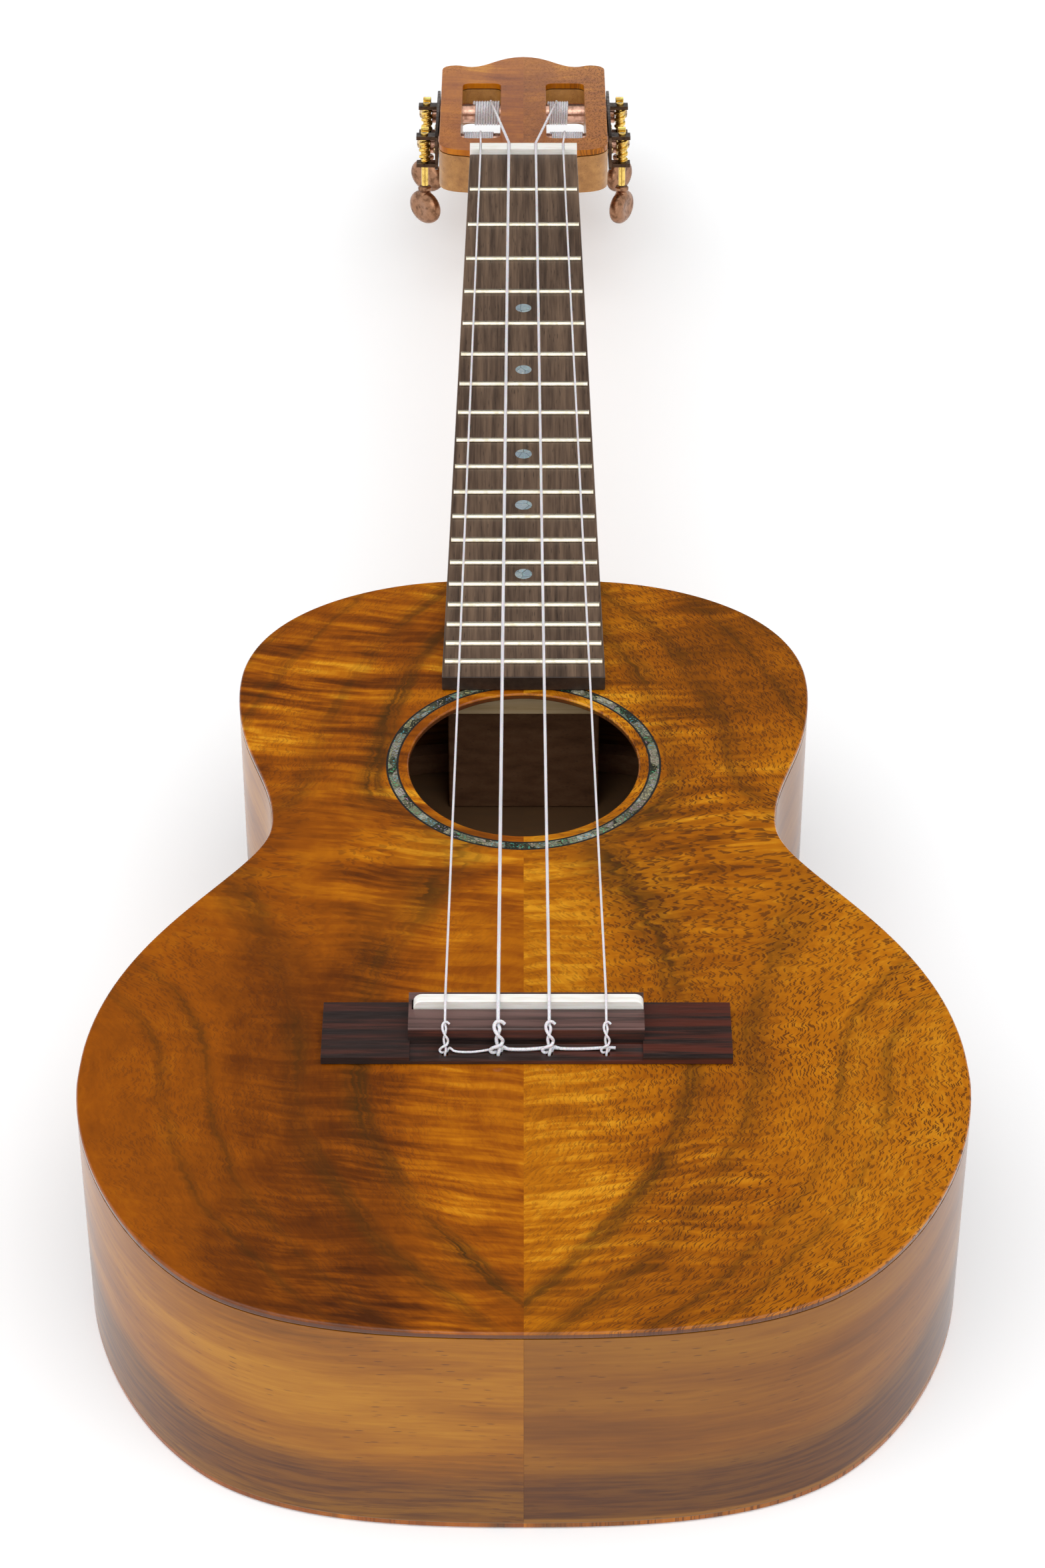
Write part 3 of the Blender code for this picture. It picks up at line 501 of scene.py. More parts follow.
def figured_koa(name, grain_lines, tone, seed=0.0, figure=1.0, coat=1.0, rim_below=None,
                dark_above=None):
    """Bookmatched koa: dark streaks along the grain, curly bands across it and short pores."""
    f = Finish(name, roughness=0.45, coat=coat, coat_roughness=0.03, specular=0.1, coat_ior=1.35)
    u = f.math("ABSOLUTE", f.x)
    right = f.math("GREATER_THAN", f.x, 0.0)
    own = right * 5.0 + seed
    flat = f.joined(u, f.y, seed)
    halves = f.joined(u, f.y, own)

    # curly bands: nearly level, rising a little away from the centre line
    wander = f.noise(f.scaled(flat, (0.030, 0.022, 1.0)), 1.0, 1.0) * 9.0
    across = f.y - u * 0.14 + wander
    broad = f.noise(f.joined(u * 0.020, across * 0.14, own), 1.0, 1.5, 0.45)
    narrow = f.noise(f.joined(u * 0.050, across * 0.40, own), 1.0, 2.0, 0.6)
    broad = f.span(broad, 0.36, 0.64) - 0.5
    narrow = f.span(narrow, 0.34, 0.66) - 0.5
    waist = f.span(f.y, 30.0, 70.0) * f.span(f.y, 150.0, 180.0, 1.0, 0.35)
    waist = waist * f.span(right, 0.0, 1.0, 1.0, 0.45)
    edge_calm = f.span(u, 40.0, 80.0, 1.0, 0.15) + waist * f.span(u, 40.0, 80.0, 0.0, 0.75)
    patches = f.span(f.noise(f.scaled(halves, (0.024, 0.022, 1.0)), 1.0, 1.0), 0.34, 0.62,
                     0.45, 1.20)
    curl = (broad * f.span(waist, 0.0, 1.0, 0.15, 0.48)
            + narrow * f.span(waist, 0.0, 1.0, 0.26, 0.30))
    curl = curl * figure * edge_calm * patches

    drift = f.noise(f.scaled(flat, (0.020, 0.018, 1.0)), 1.0, 1.0) - 0.5
    jitter = f.noise(f.scaled(halves, (0.16, 0.09, 1.0)), 1.0, 2.0) - 0.5
    grain = grain_lines(f, u) + drift * 10.0 + (jitter * 1.6 + narrow)
    streak = f.noise(f.joined(grain * 0.11, f.y * 0.008, own), 1.0, 3.0, 0.6)
    fibre = f.noise(f.joined(grain * 0.95, f.y * 0.16, own), 1.0, 3.0, 0.65)
    mottle = f.noise(f.scaled(halves, (0.11, 0.08, 1.0)), 1.0, 3.0, 0.6)
    value = tone(f, u, right) + curl + (streak - 0.5) * 0.26 + (mottle - 0.5) * 0.34
    value = f.math("ADD", value, (fibre - 0.5) * f.span(right, 0.0, 1.0, 0.26, 0.44), clamp=True)
    colour = f.ramp(value, [(0.0, (0.064, 0.014, 0.001)), (0.25, (0.150, 0.034, 0.001)),
                            (0.50, (0.295, 0.072, 0.001)), (0.75, (0.47, 0.142, 0.002)),
                            (1.0, (0.72, 0.30, 0.012))])
    colour = f.mix(right * 0.10, colour, (0.36, 0.165, 0.002))

    # dark streaks that follow the grain, made of finer lines
    along = grain / 120.0
    dark = f.ramp(along, [(0.312, 0.0), (0.332, 0.75), (0.350, 1.0), (0.372, 0.40),
                          (0.40, 0.06), (0.445, 0.08), (0.472, 0.70), (0.492, 0.50),
                          (0.52, 0.06), (0.640, 0.0), (0.662, 0.70), (0.678, 0.20),
                          (0.74, 0.05), (0.768, 0.62), (0.79, 0.10), (1.0, 0.0)])
    lines = f.noise(f.joined(grain * 0.75, f.y * 0.035, own), 1.0, 3.0, 0.6)
    broken = f.span(f.noise(f.scaled(halves, (0.040, 0.026, 1.0)), 1.0, 2.0), 0.34, 0.60,
                    0.35, 1.0)
    dark = dark * f.span(lines, 0.33, 0.62, 0.40, 1.0) * broken * (0.95 * figure)
    colour = f.mix(dark, colour, (0.048, 0.022, 0.003))

    # pores, much stronger on the right half
    pore = None
    for step, wide, long in ((0.0, 1.10, 0.24), (7.3, 1.30, 0.28)):
        place = f.joined(grain * wide + own * 31.0 + step, f.y * long)
        dash = f.span(f.cells(place, dimensions="2D"), 0.15, 0.26, 1.0, 0.0)
        pore = dash if pore is None else f.math("MAXIMUM", pore, dash)
    shown = f.span(f.noise(f.scaled(halves, (0.05, 0.035, 1.0)), 1.0, 2.0), 0.36, 0.60)
    shown = f.math("MAXIMUM", shown, f.span(right, 0.0, 1.0, 0.0, 0.80))
    shown = shown * f.span(u, 4.0, 34.0, 0.35, 1.0)
    pore = pore * shown * f.span(right, 0.0, 1.0, 0.42, 0.95)
    colour = f.mix(pore * 0.88, colour, (0.072, 0.019, 0.002))
    if rim_below is not None:
        rim = f.span(f.z, rim_below - 0.10, rim_below + 0.05, 0.85, 0.0)
        colour = f.mix(rim, colour, (0.085, 0.028, 0.012))
    if dark_above is not None:
        inside = f.span(f.z, dark_above, dark_above + 0.2, 0.0, 0.9)
        colour = f.mix(inside, colour, (0.25, 0.145, 0.072))
    rough = pore * 0.25 + 0.42
    return f.use(Base_Color=colour, Roughness=rough, Coat_Normal=lacquer_waves(f),
                 Normal=f.bump(pore, -0.12, 0.0001))


def side_koa(name):
    """Straight-grained koa, its grain running round the body, with painted shade low on the rib."""
    f = Finish(name, roughness=0.42, coat=0.55, coat_roughness=0.05, specular=0.1, coat_ior=1.34)
    right = f.math("GREATER_THAN", f.x, 0.0)
    own = right * 9.0
    plan = f.joined(f.x * 0.012, f.y * 0.012, own)
    bend = (f.noise(plan, 1.0, 1.0) - 0.5) * 9.0
    level = f.z + bend

    def round_body(along, up):
        """Noise coordinates that stretch along the rib and repeat quickly up it."""
        return f.joined(f.x * along, level * up + own, f.y * along)

    bands = f.noise(round_body(0.010, 0.075), 1.0, 2.0, 0.55)
    fine = f.noise(round_body(0.060, 0.85), 1.0, 3.0, 0.6)
    value = bands * 0.66 + fine * 0.34
    colour = f.ramp(value, [(0.32, (0.175, 0.060, 0.008)), (0.44, (0.262, 0.090, 0.009)),
                            (0.54, (0.335, 0.125, 0.010)), (0.68, (0.42, 0.175, 0.014))])
    colour = f.mix(right * 0.42, colour, (0.115, 0.042, 0.014))
    # painted shade: the rib darker towards its bottom, the band rising towards the sides, a little
    # stronger on the right half
    outward = f.x * f.x * 0.0007
    low = f.z - outward - (f.noise(plan, 2.3, 1.0) - 0.5) * 8.0
    shade = f.span(low, 13.0, 24.0, 1.0, 0.0) * f.span(fine, 0.30, 0.62, 1.0, 0.70)
    colour = f.mix(shade * f.span(right, 0.0, 1.0, 0.84, 0.92), colour, (0.070, 0.027, 0.014))
    stripe = f.span(f.z, 2.6, 3.6, 1.0, 0.0) * f.span(right, 0.0, 1.0, 0.1, 0.6)
    colour = f.mix(stripe, colour, (0.34, 0.145, 0.025))
    dash = f.span(f.cells(round_body(0.15, 0.95)), 0.10, 0.22, 0.62, 0.0)
    dash = dash * f.span(f.noise(f.place, 0.06, 1.0), 0.40, 0.60, 0.3, 1.0)
    colour = f.mix(dash, colour, (0.085, 0.030, 0.012))
    return f.use(Base_Color=colour, Coat_Normal=lacquer_waves(f),
                 Normal=f.bump(dash, -0.1, 0.0001))


def straight_wood(name, stops, along=(1.0, 0.03, 1.0), pores=0.5, pore_colour=(0.02, 0.01, 0.006),
                  roughness=0.45, coat=0.0, seed=0.0, coarse=0.35, touch=None):
    """Wood whose grain runs along the axis that the small factor names; touch(f, colour, broad)
    may shade it further."""
    f = Finish(name, roughness=roughness, coat=coat, coat_roughness=0.08, specular=0.4)
    place = f.moved(f.place, (seed, seed, seed))
    drift = f.noise(f.scaled(place, tuple(0.05 * a for a in along)), 1.0, 1.0)
    shifted = f.moved(f.scaled(place, along), f.joined(drift * 6.0, 0.0))
    broad = f.noise(shifted, coarse, 3.0, 0.6)
    fine = f.noise(shifted, 3.2, 3.0, 0.65)
    value = broad * 0.7 + fine * 0.3
    colour = f.ramp(value, stops)
    dash = f.span(f.cells(f.scaled(shifted, (1.5, 4.0, 1.5))), 0.14, 0.26, 1.0, 0.0)
    sparse = f.span(f.noise(place, 0.35, 1.0), 0.42, 0.60, 0.2, 1.0)
    dash = dash * sparse
    colour = f.mix(dash * pores, colour, pore_colour)
    if touch is not None:
        colour = touch(f, colour, broad)
    rough = f.span(fine, 0.3, 0.7, roughness - 0.06, roughness + 0.08)
    height = fine * 0.3 - dash
    return f.use(Base_Color=colour, Roughness=rough, Normal=f.bump(height, 0.25, 0.00012))


def abalone(name, pearl=0.0):
    """Polished shell in short pieces: muted grey-green with bright flecks, or paler pearl."""
    f = Finish(name, roughness=0.22, coat=1.0, coat_roughness=0.04, specular=0.3, coat_ior=1.4)
    waves = f.noise(f.place, 0.9, 3.0, 0.6, 1.2)
    shade, tint = f.parts(f.cells(f.place, 0.30, output="Color"))[:2]
    value = waves * 0.50 + shade * 0.62
    colour = f.ramp(value, [(0.30, (0.022, 0.024, 0.016)), (0.41, (0.080, 0.085, 0.050)),
                            (0.50, (0.215, 0.210, 0.130)), (0.57, (0.055, 0.085, 0.065)),
                            (0.66, (0.270, 0.260, 0.185)), (0.76, (0.105, 0.090, 0.060)),
                            (0.90, (0.40, 0.40, 0.32))])
    sparkle = f.noise(f.place, 1.7, 1.0)
    hue = f.ramp(tint, [(0.2, (0.10, 0.42, 0.20)), (0.45, (0.10, 0.34, 0.45)),
                        (0.65, (0.45, 0.25, 0.36)), (0.85, (0.55, 0.50, 0.22))])
    colour = f.mix(f.span(sparkle, 0.56, 0.68, 0.0, 0.85), colour, hue)
    if pearl:
        colour = f.mix(pearl, colour, (0.42, 0.52, 0.60))
    cracks = f.span(f.cells(f.place, 0.30, feature="DISTANCE_TO_EDGE"), 0.0, 0.035, 0.75, 0.0)
    colour = f.mix(cracks, colour, (0.02, 0.022, 0.018))
    return f.use(Base_Color=colour, Normal=f.bump(waves, 0.12, 0.0002))


def bone(name):
    """Bone: pale, with faint lengthwise streaks and small pits."""
    f = Finish(name, roughness=0.35, specular=0.5)
    streaks = f.noise(f.scaled(f.place, (0.12, 1.4, 1.4)), 1.0, 3.0, 0.6)
    pits = f.span(f.cells(f.scaled(f.place, (0.8, 3.0, 3.0))), 0.06, 0.14, 0.35, 0.0)
    colour = f.ramp(streaks, [(0.30, (0.78, 0.745, 0.67)), (0.55, (0.88, 0.86, 0.81)),
                              (0.75, (0.91, 0.895, 0.87))])
    colour = f.mix(pits, colour, (0.62, 0.57, 0.45))
    f.shader.inputs["Subsurface Weight"].default_value = 0.12
    f.shader.inputs["Subsurface Scale"].default_value = 0.001
    return f.use(Base_Color=colour, Roughness=f.span(streaks, 0.3, 0.7, 0.28, 0.42),
                 Normal=f.bump(streaks, 0.06, 0.0001))


def nylon(name):
    """Clear white nylon, a little milky, with faint draw lines."""
    f = Finish(name, roughness=0.25, specular=0.5)
    lines = f.noise(f.scaled(f.place, (4.0, 0.1, 4.0)), 1.0, 2.0)
    colour = f.ramp(lines, [(0.3, (0.58, 0.57, 0.61)), (0.7, (0.80, 0.79, 0.82))])
    f.shader.inputs["Subsurface Weight"].default_value = 0.3
    f.shader.inputs["Subsurface Scale"].default_value = 0.0008
    return f.use(Base_Color=colour, Roughness=f.span(lines, 0.3, 0.7, 0.18, 0.32))


def metal(name, colour, dull, roughness, brushed=(1.0, 1.0, 1.0)):
    """Plated metal: polish that varies, with duller patches and fine scratches."""
    f = Finish(name, roughness=roughness, metallic=1.0)
    tarnish = f.noise(f.place, 0.5, 3.0, 0.6)
    scratches = f.noise(f.scaled(f.place, brushed), 3.0, 3.0, 0.7)
    shade = f.mix(f.span(tarnish, 0.42, 0.72), colour, dull)
    rough = f.span(tarnish, 0.3, 0.7, roughness - 0.05, roughness + 0.12) + scratches * 0.08
    return f.use(Base_Color=shade, Roughness=rough, Normal=f.bump(scratches, 0.05, 0.00008))


def black_line(name):
    """Dyed wood fibre of the purfling."""
    f = Finish(name, roughness=0.4, coat=1.0, coat_roughness=0.05)
    grain = f.noise(f.place, 2.0, 2.0)
    return f.use(Base_Color=f.ramp(grain, [(0.3, (0.006, 0.005, 0.005)),
                                           (0.7, (0.020, 0.016, 0.014))]))


KOA_TOP = figured_koa("koa_top_finish", body_grain, body_tone, seed=2.0,
                      rim_below=(TOP - 0.0005) / MM)
KOA_HEAD = figured_koa("koa_head_finish", arched_grain(0.0006, 500.0), head_tone, seed=11.0,
                       figure=0.45, coat=0.4)
KOA_BACK = figured_koa("koa_back_finish", arched_grain(0.0024, 10.0), even_tone, seed=23.0,
                       figure=0.9, dark_above=1.6)
KOA_SIDE = side_koa("koa_side_finish")
MAHOGANY = straight_wood("mahogany_finish", [(0.30, (0.26, 0.108, 0.024)),
                                             (0.50, (0.38, 0.172, 0.040)),
                                             (0.70, (0.48, 0.235, 0.060))],
                         pores=0.6, pore_colour=(0.12, 0.045, 0.013), roughness=0.40, coat=0.2)
MAHOGANY_ACROSS = straight_wood("lining_finish", [(0.30, (0.16, 0.070, 0.032)),
                                                  (0.50, (0.26, 0.125, 0.060)),
                                                  (0.70, (0.35, 0.18, 0.090))],
                                along=(0.4, 0.4, 1.0), pores=0.4, roughness=0.6)
SPRUCE = straight_wood("spruce_finish", [(0.32, (0.42, 0.26, 0.115)), (0.50, (0.62, 0.44, 0.23)),
                                         (0.68, (0.72, 0.55, 0.33))],
                       along=(0.03, 1.0, 1.0), pores=0.1, roughness=0.6)


def end_grain_and_painted_shade(f, colour, broad):
    """The fretboard's end over the soundboard, darker than its face: end grain and painted shade.
    """
    # painted shade along with the end grain: the last half millimetre towards the end turns dark
    end = f.span(f.y, FRETBOARD[0].y / MM + 0.15, FRETBOARD[0].y / MM + 0.5, 0.85, 0.0)
    return f.mix(end, colour, (0.020, 0.010, 0.006))


def bridge_shading(f, colour, broad):
    """Redder wood at the right, near-black wood at the left, a painted reflection on the block's
    top."""
    red = f.span(f.x, -14.0, 30.0, 0.05, 0.75) * f.span(broad, 0.42, 0.58, 0.0, 1.0)
    colour = f.mix(red, colour, (0.085, 0.018, 0.010))
    black = f.span(f.x, -30.0, -22.0, 0.70, 0.0) * f.span(broad, 0.40, 0.62, 1.0, 0.5)
    colour = f.mix(black, colour, (0.024, 0.016, 0.015))
    # painted reflection: the block's top paler, from 5.9 mm above the soundboard up
    pale = f.span(f.z, TOP / MM + 5.9, TOP / MM + 6.15) * f.span(broad, 0.36, 0.62, 0.20, 0.72)
    return f.mix(pale, colour, (0.165, 0.098, 0.088))


FRETBOARD_WOOD = straight_wood("fretboard_finish", [(0.32, (0.040, 0.024, 0.016)),
                                                    (0.45, (0.085, 0.052, 0.034)),
                                                    (0.56, (0.135, 0.085, 0.055)),
                                                    (0.70, (0.20, 0.125, 0.078))],
                               pores=0.65, pore_colour=(0.020, 0.012, 0.008), roughness=0.42,
                               coarse=0.55, touch=end_grain_and_painted_shade)
ROSEWOOD = straight_wood("rosewood_finish", [(0.34, (0.010, 0.006, 0.006)),
                                             (0.47, (0.028, 0.015, 0.012)),
                                             (0.56, (0.062, 0.022, 0.016)),
                                             (0.68, (0.13, 0.036, 0.022))],
                         along=(0.035, 1.0, 1.0), pores=0.5, pore_colour=(0.004, 0.003, 0.003),
                         roughness=0.36, seed=31.0, coarse=0.42, touch=bridge_shading)
ABALONE = abalone("abalone_finish")
PEARL = abalone("pearl_dot_finish", pearl=0.55)
BONE = bone("bone_finish")
NYLON = nylon("nylon_finish")
FRET_METAL = metal("fret_finish", (0.95, 0.87, 0.70), (0.74, 0.65, 0.48), roughness=0.28,
                   brushed=(0.2, 3.0, 3.0))
GOLD = metal("gold_finish", (0.90, 0.62, 0.16), (0.50, 0.30, 0.07), roughness=0.18)
COPPER = metal("copper_finish", (0.78, 0.46, 0.34), (0.42, 0.23, 0.16), roughness=0.20)
BUTTON_METAL = metal("button_finish", (0.36, 0.185, 0.105), (0.16, 0.078, 0.042), roughness=0.26)
# dark bronze for the tuner side plates; its near-black colour is partly a painted dark reflection
BRONZE_AND_PAINTED_REFLECTION = metal("bronze_and_painted_reflection_finish", (0.115, 0.070, 0.045), (0.045, 0.028, 0.020), roughness=0.30)
STEEL = metal("screw_finish", (0.60, 0.44, 0.26), (0.25, 0.16, 0.09), roughness=0.3)
BLACK_LINE = black_line("purfling_finish")


# ---------------------------------------------------------------- body
def make_soundboard():
    """The soundboard with a rounded rim, and the rosette let into it between black lines."""
    outlines = top_loops("soundboard")
    hole_r = min(max(x for x, y in loop) for loop in outlines)
    mesh = plate("soundboard_shown", [smoothed(outlines[0]), ring_loop(hole_r)], BOARD_LOW, TOP,
                 0.6 * MM)
    board = link("soundboard_shown", mesh, "root", KOA_TOP)
    line = 0.55 * MM
    inner_r = ROSETTE_INNER - line
    outer_r = ROSETTE_R + line
    depth = TOP - ROSETTE[0].z
    groove = plate("groove", [ring_loop(outer_r), ring_loop(inner_r)], TOP - depth, TOP + depth,
                   0.0)
    cut_from(board, "groove", groove, PLATE_SMOOTH)
    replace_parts(board, "soundboard")

    skin = 0.01 * MM
    shell = plate("rosette_shown", [ring_loop(ROSETTE_R), ring_loop(ROSETTE_INNER)],
                  ROSETTE[0].z + skin, TOP + skin, 0.0)
    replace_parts(link("rosette_shown", shell, "root", ABALONE), "rosette")
    for name, low, high in (("purfling_outer", ROSETTE_R, outer_r),
                            ("purfling_inner", inner_r, ROSETTE_INNER)):
        ring = plate(name, [ring_loop(high - skin), ring_loop(low + skin)],
                     ROSETTE[0].z + skin, TOP + skin, 0.0)
        link(name, ring, "root", BLACK_LINE)


def rosette_inner_radius():
    """The rosette's inner radius, from its own vertices."""
    return min(math.hypot(v.co.x, v.co.y - HOLE_Y) for v in frame["nodes"]["rosette"].data.vertices)


ROSETTE_INNER = rosette_inner_radius()


def make_shell():
    """Back and ribs. The ribs' top edges reach the soundboard and their ends meet at the seam."""
    back_low, back_high = (corner.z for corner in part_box("back_plate"))
    back = plate("back_plate_shown", [smoothed(top_loops("back_plate")[0])], back_low, back_high,
                 0.5 * MM)
    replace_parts(link("back_plate_shown", back, "root", KOA_BACK), "back_plate")
    low, high = (corner.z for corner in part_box("rib_left"))
    reach, hair = 0.4 * MM, 0.02 * MM

    def close_gaps(place):
        if abs(place.x) < reach:
            place.x *= 0.1
        if place.z > high - reach:
            place.z = BOARD_LOW - hair
        if place.z < low + reach:
            place.z = back_high + hair

    for node in ("rib_left", "rib_right"):
        refine(node, KOA_SIDE, smooth_degrees=25, change=close_gaps)


def make_inside():
    """Blocks, braces and linings."""
    for node in ("neck_block", "tail_block"):
        refine(node, MAHOGANY_ACROSS, 0.0005)
    for node in ("upper_brace", "lower_brace", "back_brace_upper", "back_brace_lower"):
        refine(node, SPRUCE, 0.0010, 3)
    for node in ("top_lining", "back_lining"):
        refine(node, MAHOGANY_ACROSS, smooth_degrees=25)


# ---------------------------------------------------------------- neck, head and fretboard
def make_neck():
    refine("neck", MAHOGANY, 0.0005)
    refine("headplate", KOA_HEAD, 0.0004)
    refine("fretboard", FRETBOARD_WOOD, 0.0003)
    refine("nut", BONE, 0.0002)
    for node in sorted(n for n in frame["nodes"] if n.startswith("fret_")):
        refine(node, FRET_METAL, 0.00015)


def make_dots():
    """Shell dots halfway between the frets that a player looks for."""
    radius = 2.5 * MM
    for fret in (5, 7, 10, 12, 15):
        before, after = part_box(f"fret_{fret - 1:02d}"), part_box(f"fret_{fret:02d}")
        middle = (before[0].y + after[1].y) / 2
        top = FRETBOARD[1].z + 0.02 * MM
        profile = [(0, -0.6 * MM), (radius, -0.6 * MM), (radius, -0.02 * MM),
                   (radius - 0.02 * MM, 0.0), (0, 0.0)]
        turned(f"dot_{fret}", profile, Matrix.Translation((0, middle, top)), "root", PEARL)


# ---------------------------------------------------------------- bridge and strings
def make_bridge():
    refine("bridge", ROSEWOOD, 0.0003)
    refine("saddle", BONE, 0.0003, 3)


NEAR_SADDLE = 0.0006                              # reach for a string's points there
NEAR_NUT = 0.001                                  # and at the nut and the roller


class StringLine:
    """Where a string runs, read from its CAD tube."""

    def __init__(self, number):
        self.number = number
        self.places = [v.co.copy() for v in frame["nodes"][f"string_{number}"].data.vertices]
        self.on_saddle = self.centre(SADDLE[0].y, NEAR_SADDLE)
        self.off_saddle = self.centre(SADDLE[1].y, NEAR_SADDLE)
        self.at_nut = self.centre(NUT[0].y, NEAR_NUT)
        self.past_nut = self.centre(NUT[1].y, NEAR_NUT)
        self.on_roller = self.centre(max(place.y for place in self.places), NEAR_NUT)
        ring = [p.x for p in self.places if abs(p.y - SADDLE[0].y) < NEAR_SADDLE]
        self.radius = (max(ring) - min(ring)) / 2

    def centre(self, level, near):
        """The middle of the tube's points that lie near a level of Y."""
        found = [place for place in self.places if level - near <= place.y <= level + near]
        return sum(found, Vector()) / len(found)


STRINGS = {number: StringLine(number) for number in TUNERS}


def over_roller(line):
    """The last quarter turn of a string, over the far side of its roller."""
    axis = axis_place(f"roller_{line.number}")
    arm = line.on_roller - axis
    arm.x = 0.0
    path = []
    for i in range(1, 9):
        turn = Matrix.Rotation(-math.radians(13 * i), 3, "X")
        path.append(Vector((line.on_roller.x, axis.y, axis.z)) + turn @ arm)
    return path


# The knot, as (across, share of the way down, off the block) in string radii: the end that
# winds back round the string, and the string itself.
WOUND_END = ((3.5, 0.04, 0.2), (1.7, -0.02, 1.6), (-0.7, 0.03, 2.0), (-2.0, 0.14, 1.1),
             (-1.8, 0.28, 0.5), (0.0, 0.41, 1.7), (1.9, 0.50, 1.2), (2.4, 0.58, 0.3),
             (1.2, 0.66, 1.5), (-1.2, 0.69, 2.0), (-3.4, 0.75, 1.2), (-4.2, 0.84, 0.5),
             (-3.0, 0.93, 0.2), (-1.0, 0.93, -1.4), (1.4, 0.90, -1.8))
MAIN_STRAND = ((0.0, 0.0, 0.0), (0.5, 0.14, 0.0), (0.8, 0.28, 0.0), (-0.1, 0.41, -0.2),
               (-0.9, 0.52, 0.0), (-0.5, 0.63, -0.2), (0.5, 0.74, 0.0), (0.6, 0.85, 0.5),
               (0.1, 1.0, 0.2))
KNOT_PATH = ((-11.1, 7.05), (-12.7, 6.75), (-13.9, 4.6), (-15.1, 2.3), (-15.9, 1.1))


def knot_points(line, shape):
    """Places along the knot for a strand's (across, share, off) triples."""
    x, r = line.on_saddle.x, line.radius
    spine = [Vector((x, y * MM, TOP + z * MM)) for y, z in KNOT_PATH]
    points = []
    for across, share, off in shape:
        place = max(0.0, min(0.999, share)) * (len(spine) - 1)
        step = int(place)
        along = spine[step + 1] - spine[step]
        lift = Vector((0, along.z, -along.y)).normalized()
        middle = spine[step] + along * (place - step) + along.normalized() * min(0.0, share) * MM
        points.append(middle + Vector((across * r, 0, 0)) + lift * off * r)
    return points


def tied_end(line, next_line):
    """The string's run down the bridge to its hole, and the end that winds back round it."""
    x, r = line.on_saddle.x, line.radius
    rest = BRIDGE_LEDGE + r + 0.15 * MM
    hole = [Vector((x, -16.1 * MM, TOP + 0.4 * MM)), Vector((x, -16.2 * MM, TOP - 0.2 * MM))]
    main = [line.on_saddle] + knot_points(line, MAIN_STRAND) + hole
    wound = knot_points(line, WOUND_END)
    if next_line is None:
        tail = [Vector((x + dx * MM, -14.6 * MM, rest + dz * MM))
                for dx, dz in ((1.0, 0.3), (2.3, 0.5))]
    else:
        reach = next_line.on_saddle.x - x
        sag = (1.3, 0.5, 0.2)[line.number - 1] * MM
        tail = [Vector((x + reach * share + dx * MM, -14.5 * MM - sag * down, rest + dz * MM))
                for share, dx, down, dz in ((0.0, 1.2, 0.3, 0.6), (0.2, 0.0, 0.9, 0.1),
                                            (0.5, 0.0, 1.0, 0.0), (0.8, 0.0, 0.5, 0.1),
                                            (1.0, -1.0, 0.1, 0.2), (1.0, 1.0, 0.2, 0.3),
                                            (1.0, 2.3, 0.4, 0.2))]
    return flowing(main), flowing(wound + tail)


def make_strings():
    for number in TUNERS:
        line = STRINGS[number]
        following = STRINGS.get(number + 1)
        main, wound = tied_end(line, following)
        straight = [line.at_nut.lerp(line.off_saddle, i / 12) for i in range(13)]
        path = list(reversed(over_roller(line))) + [line.on_roller, line.past_nut]
        path += straight + main
        piece = tube(f"string_{number}_shown", [path, wound], line.radius, "root", NYLON)
        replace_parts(piece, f"string_{number}")


# The part of each roller that its string covers, as lowest and highest X in mm.
WOUND_PART = {1: (-21.0, -10.4), 2: (-17.6, -8.8), 3: (8.9, 15.8), 4: (9.6, 21.0)}


def make_windings():
    """The turns of string round each roller."""
    per_turn = 18
    for number, (low, high) in WOUND_PART.items():
        line = STRINGS[number]
        body = f"roller_{number}"
        axis = axis_place(body)
        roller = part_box(f"tuner_roller_{number}")
        coil_r = (roller[1].z - roller[0].z) / 2 + line.radius * 0.96
        pitch = 2.06 * line.radius
        count = int((high - low) * MM / pitch * per_turn)
        path = []
        for i in range(count + 1):
            angle = 2 * math.pi * i / per_turn
            path.append(Vector((low * MM + pitch * i / per_turn,
                                axis.y + coil_r * math.sin(angle),
                                axis.z + coil_r * math.cos(angle))))
        tube(f"winding_{number}", [path], line.radius, body, NYLON, sides=2)


# ---------------------------------------------------------------- tuners
GEAR_TEETH = 14
GEAR_PITCH_R = 5.2 * MM
PLATE_SCREW_X = 30.7 * MM                         # where the side plates' screw heads sit
SCREW_SHARES = (-0.22, 0.5, 1.17)                 # from the near roller to the far one


def outward(number):
    """+1 or -1: the side of the head that a tuner is on."""
    return math.copysign(1.0, axis_place(f"key_{number}").x)


def facing(place, direction):
    """A frame at a place whose Z axis points along a direction."""
    z = direction.normalized()
    x = HEAD_ALONG if abs(z.dot(HEAD_ALONG)) < 0.9 else Vector((1, 0, 0))
    y = z.cross(x).normalized()
    x = y.cross(z)
    matrix = Matrix((x, y, z)).transposed().to_4x4()
    matrix.translation = place
    return matrix


def make_screw(name, place, direction, radius, body):
    """A slotted, domed screw head."""
    height = radius * 0.55
    profile = [(0, -radius), (radius * 0.55, -radius), (radius * 0.55, 0), (radius, 0),
               (radius, height * 0.25), (radius * 0.86, height * 0.7),
               (radius * 0.55, height * 0.93), (0, height)]
    screw = turned(name, profile, facing(place, direction), body, STEEL, 24)
    shape = bmesh.new()
    size = Matrix.Diagonal((radius * 2.4, radius * 0.28, height, 1.0))
    lift = Matrix.Translation((0, 0, height * 0.85))
    bmesh.ops.create_cube(shape, size=1.0, matrix=facing(place, direction) @ lift @ size)
    cut_from(screw, "slot", finished(shape, name + "_slot"), 35)


def key_frame(number):
    """The frame of a key: its origin on the shaft, its Z axis along it."""
    tilt = Matrix.Rotation(-math.acos(HEAD_NORMAL.z), 4, "X")
    return Matrix.Translation(axis_place(f"key_{number}")) @ tilt


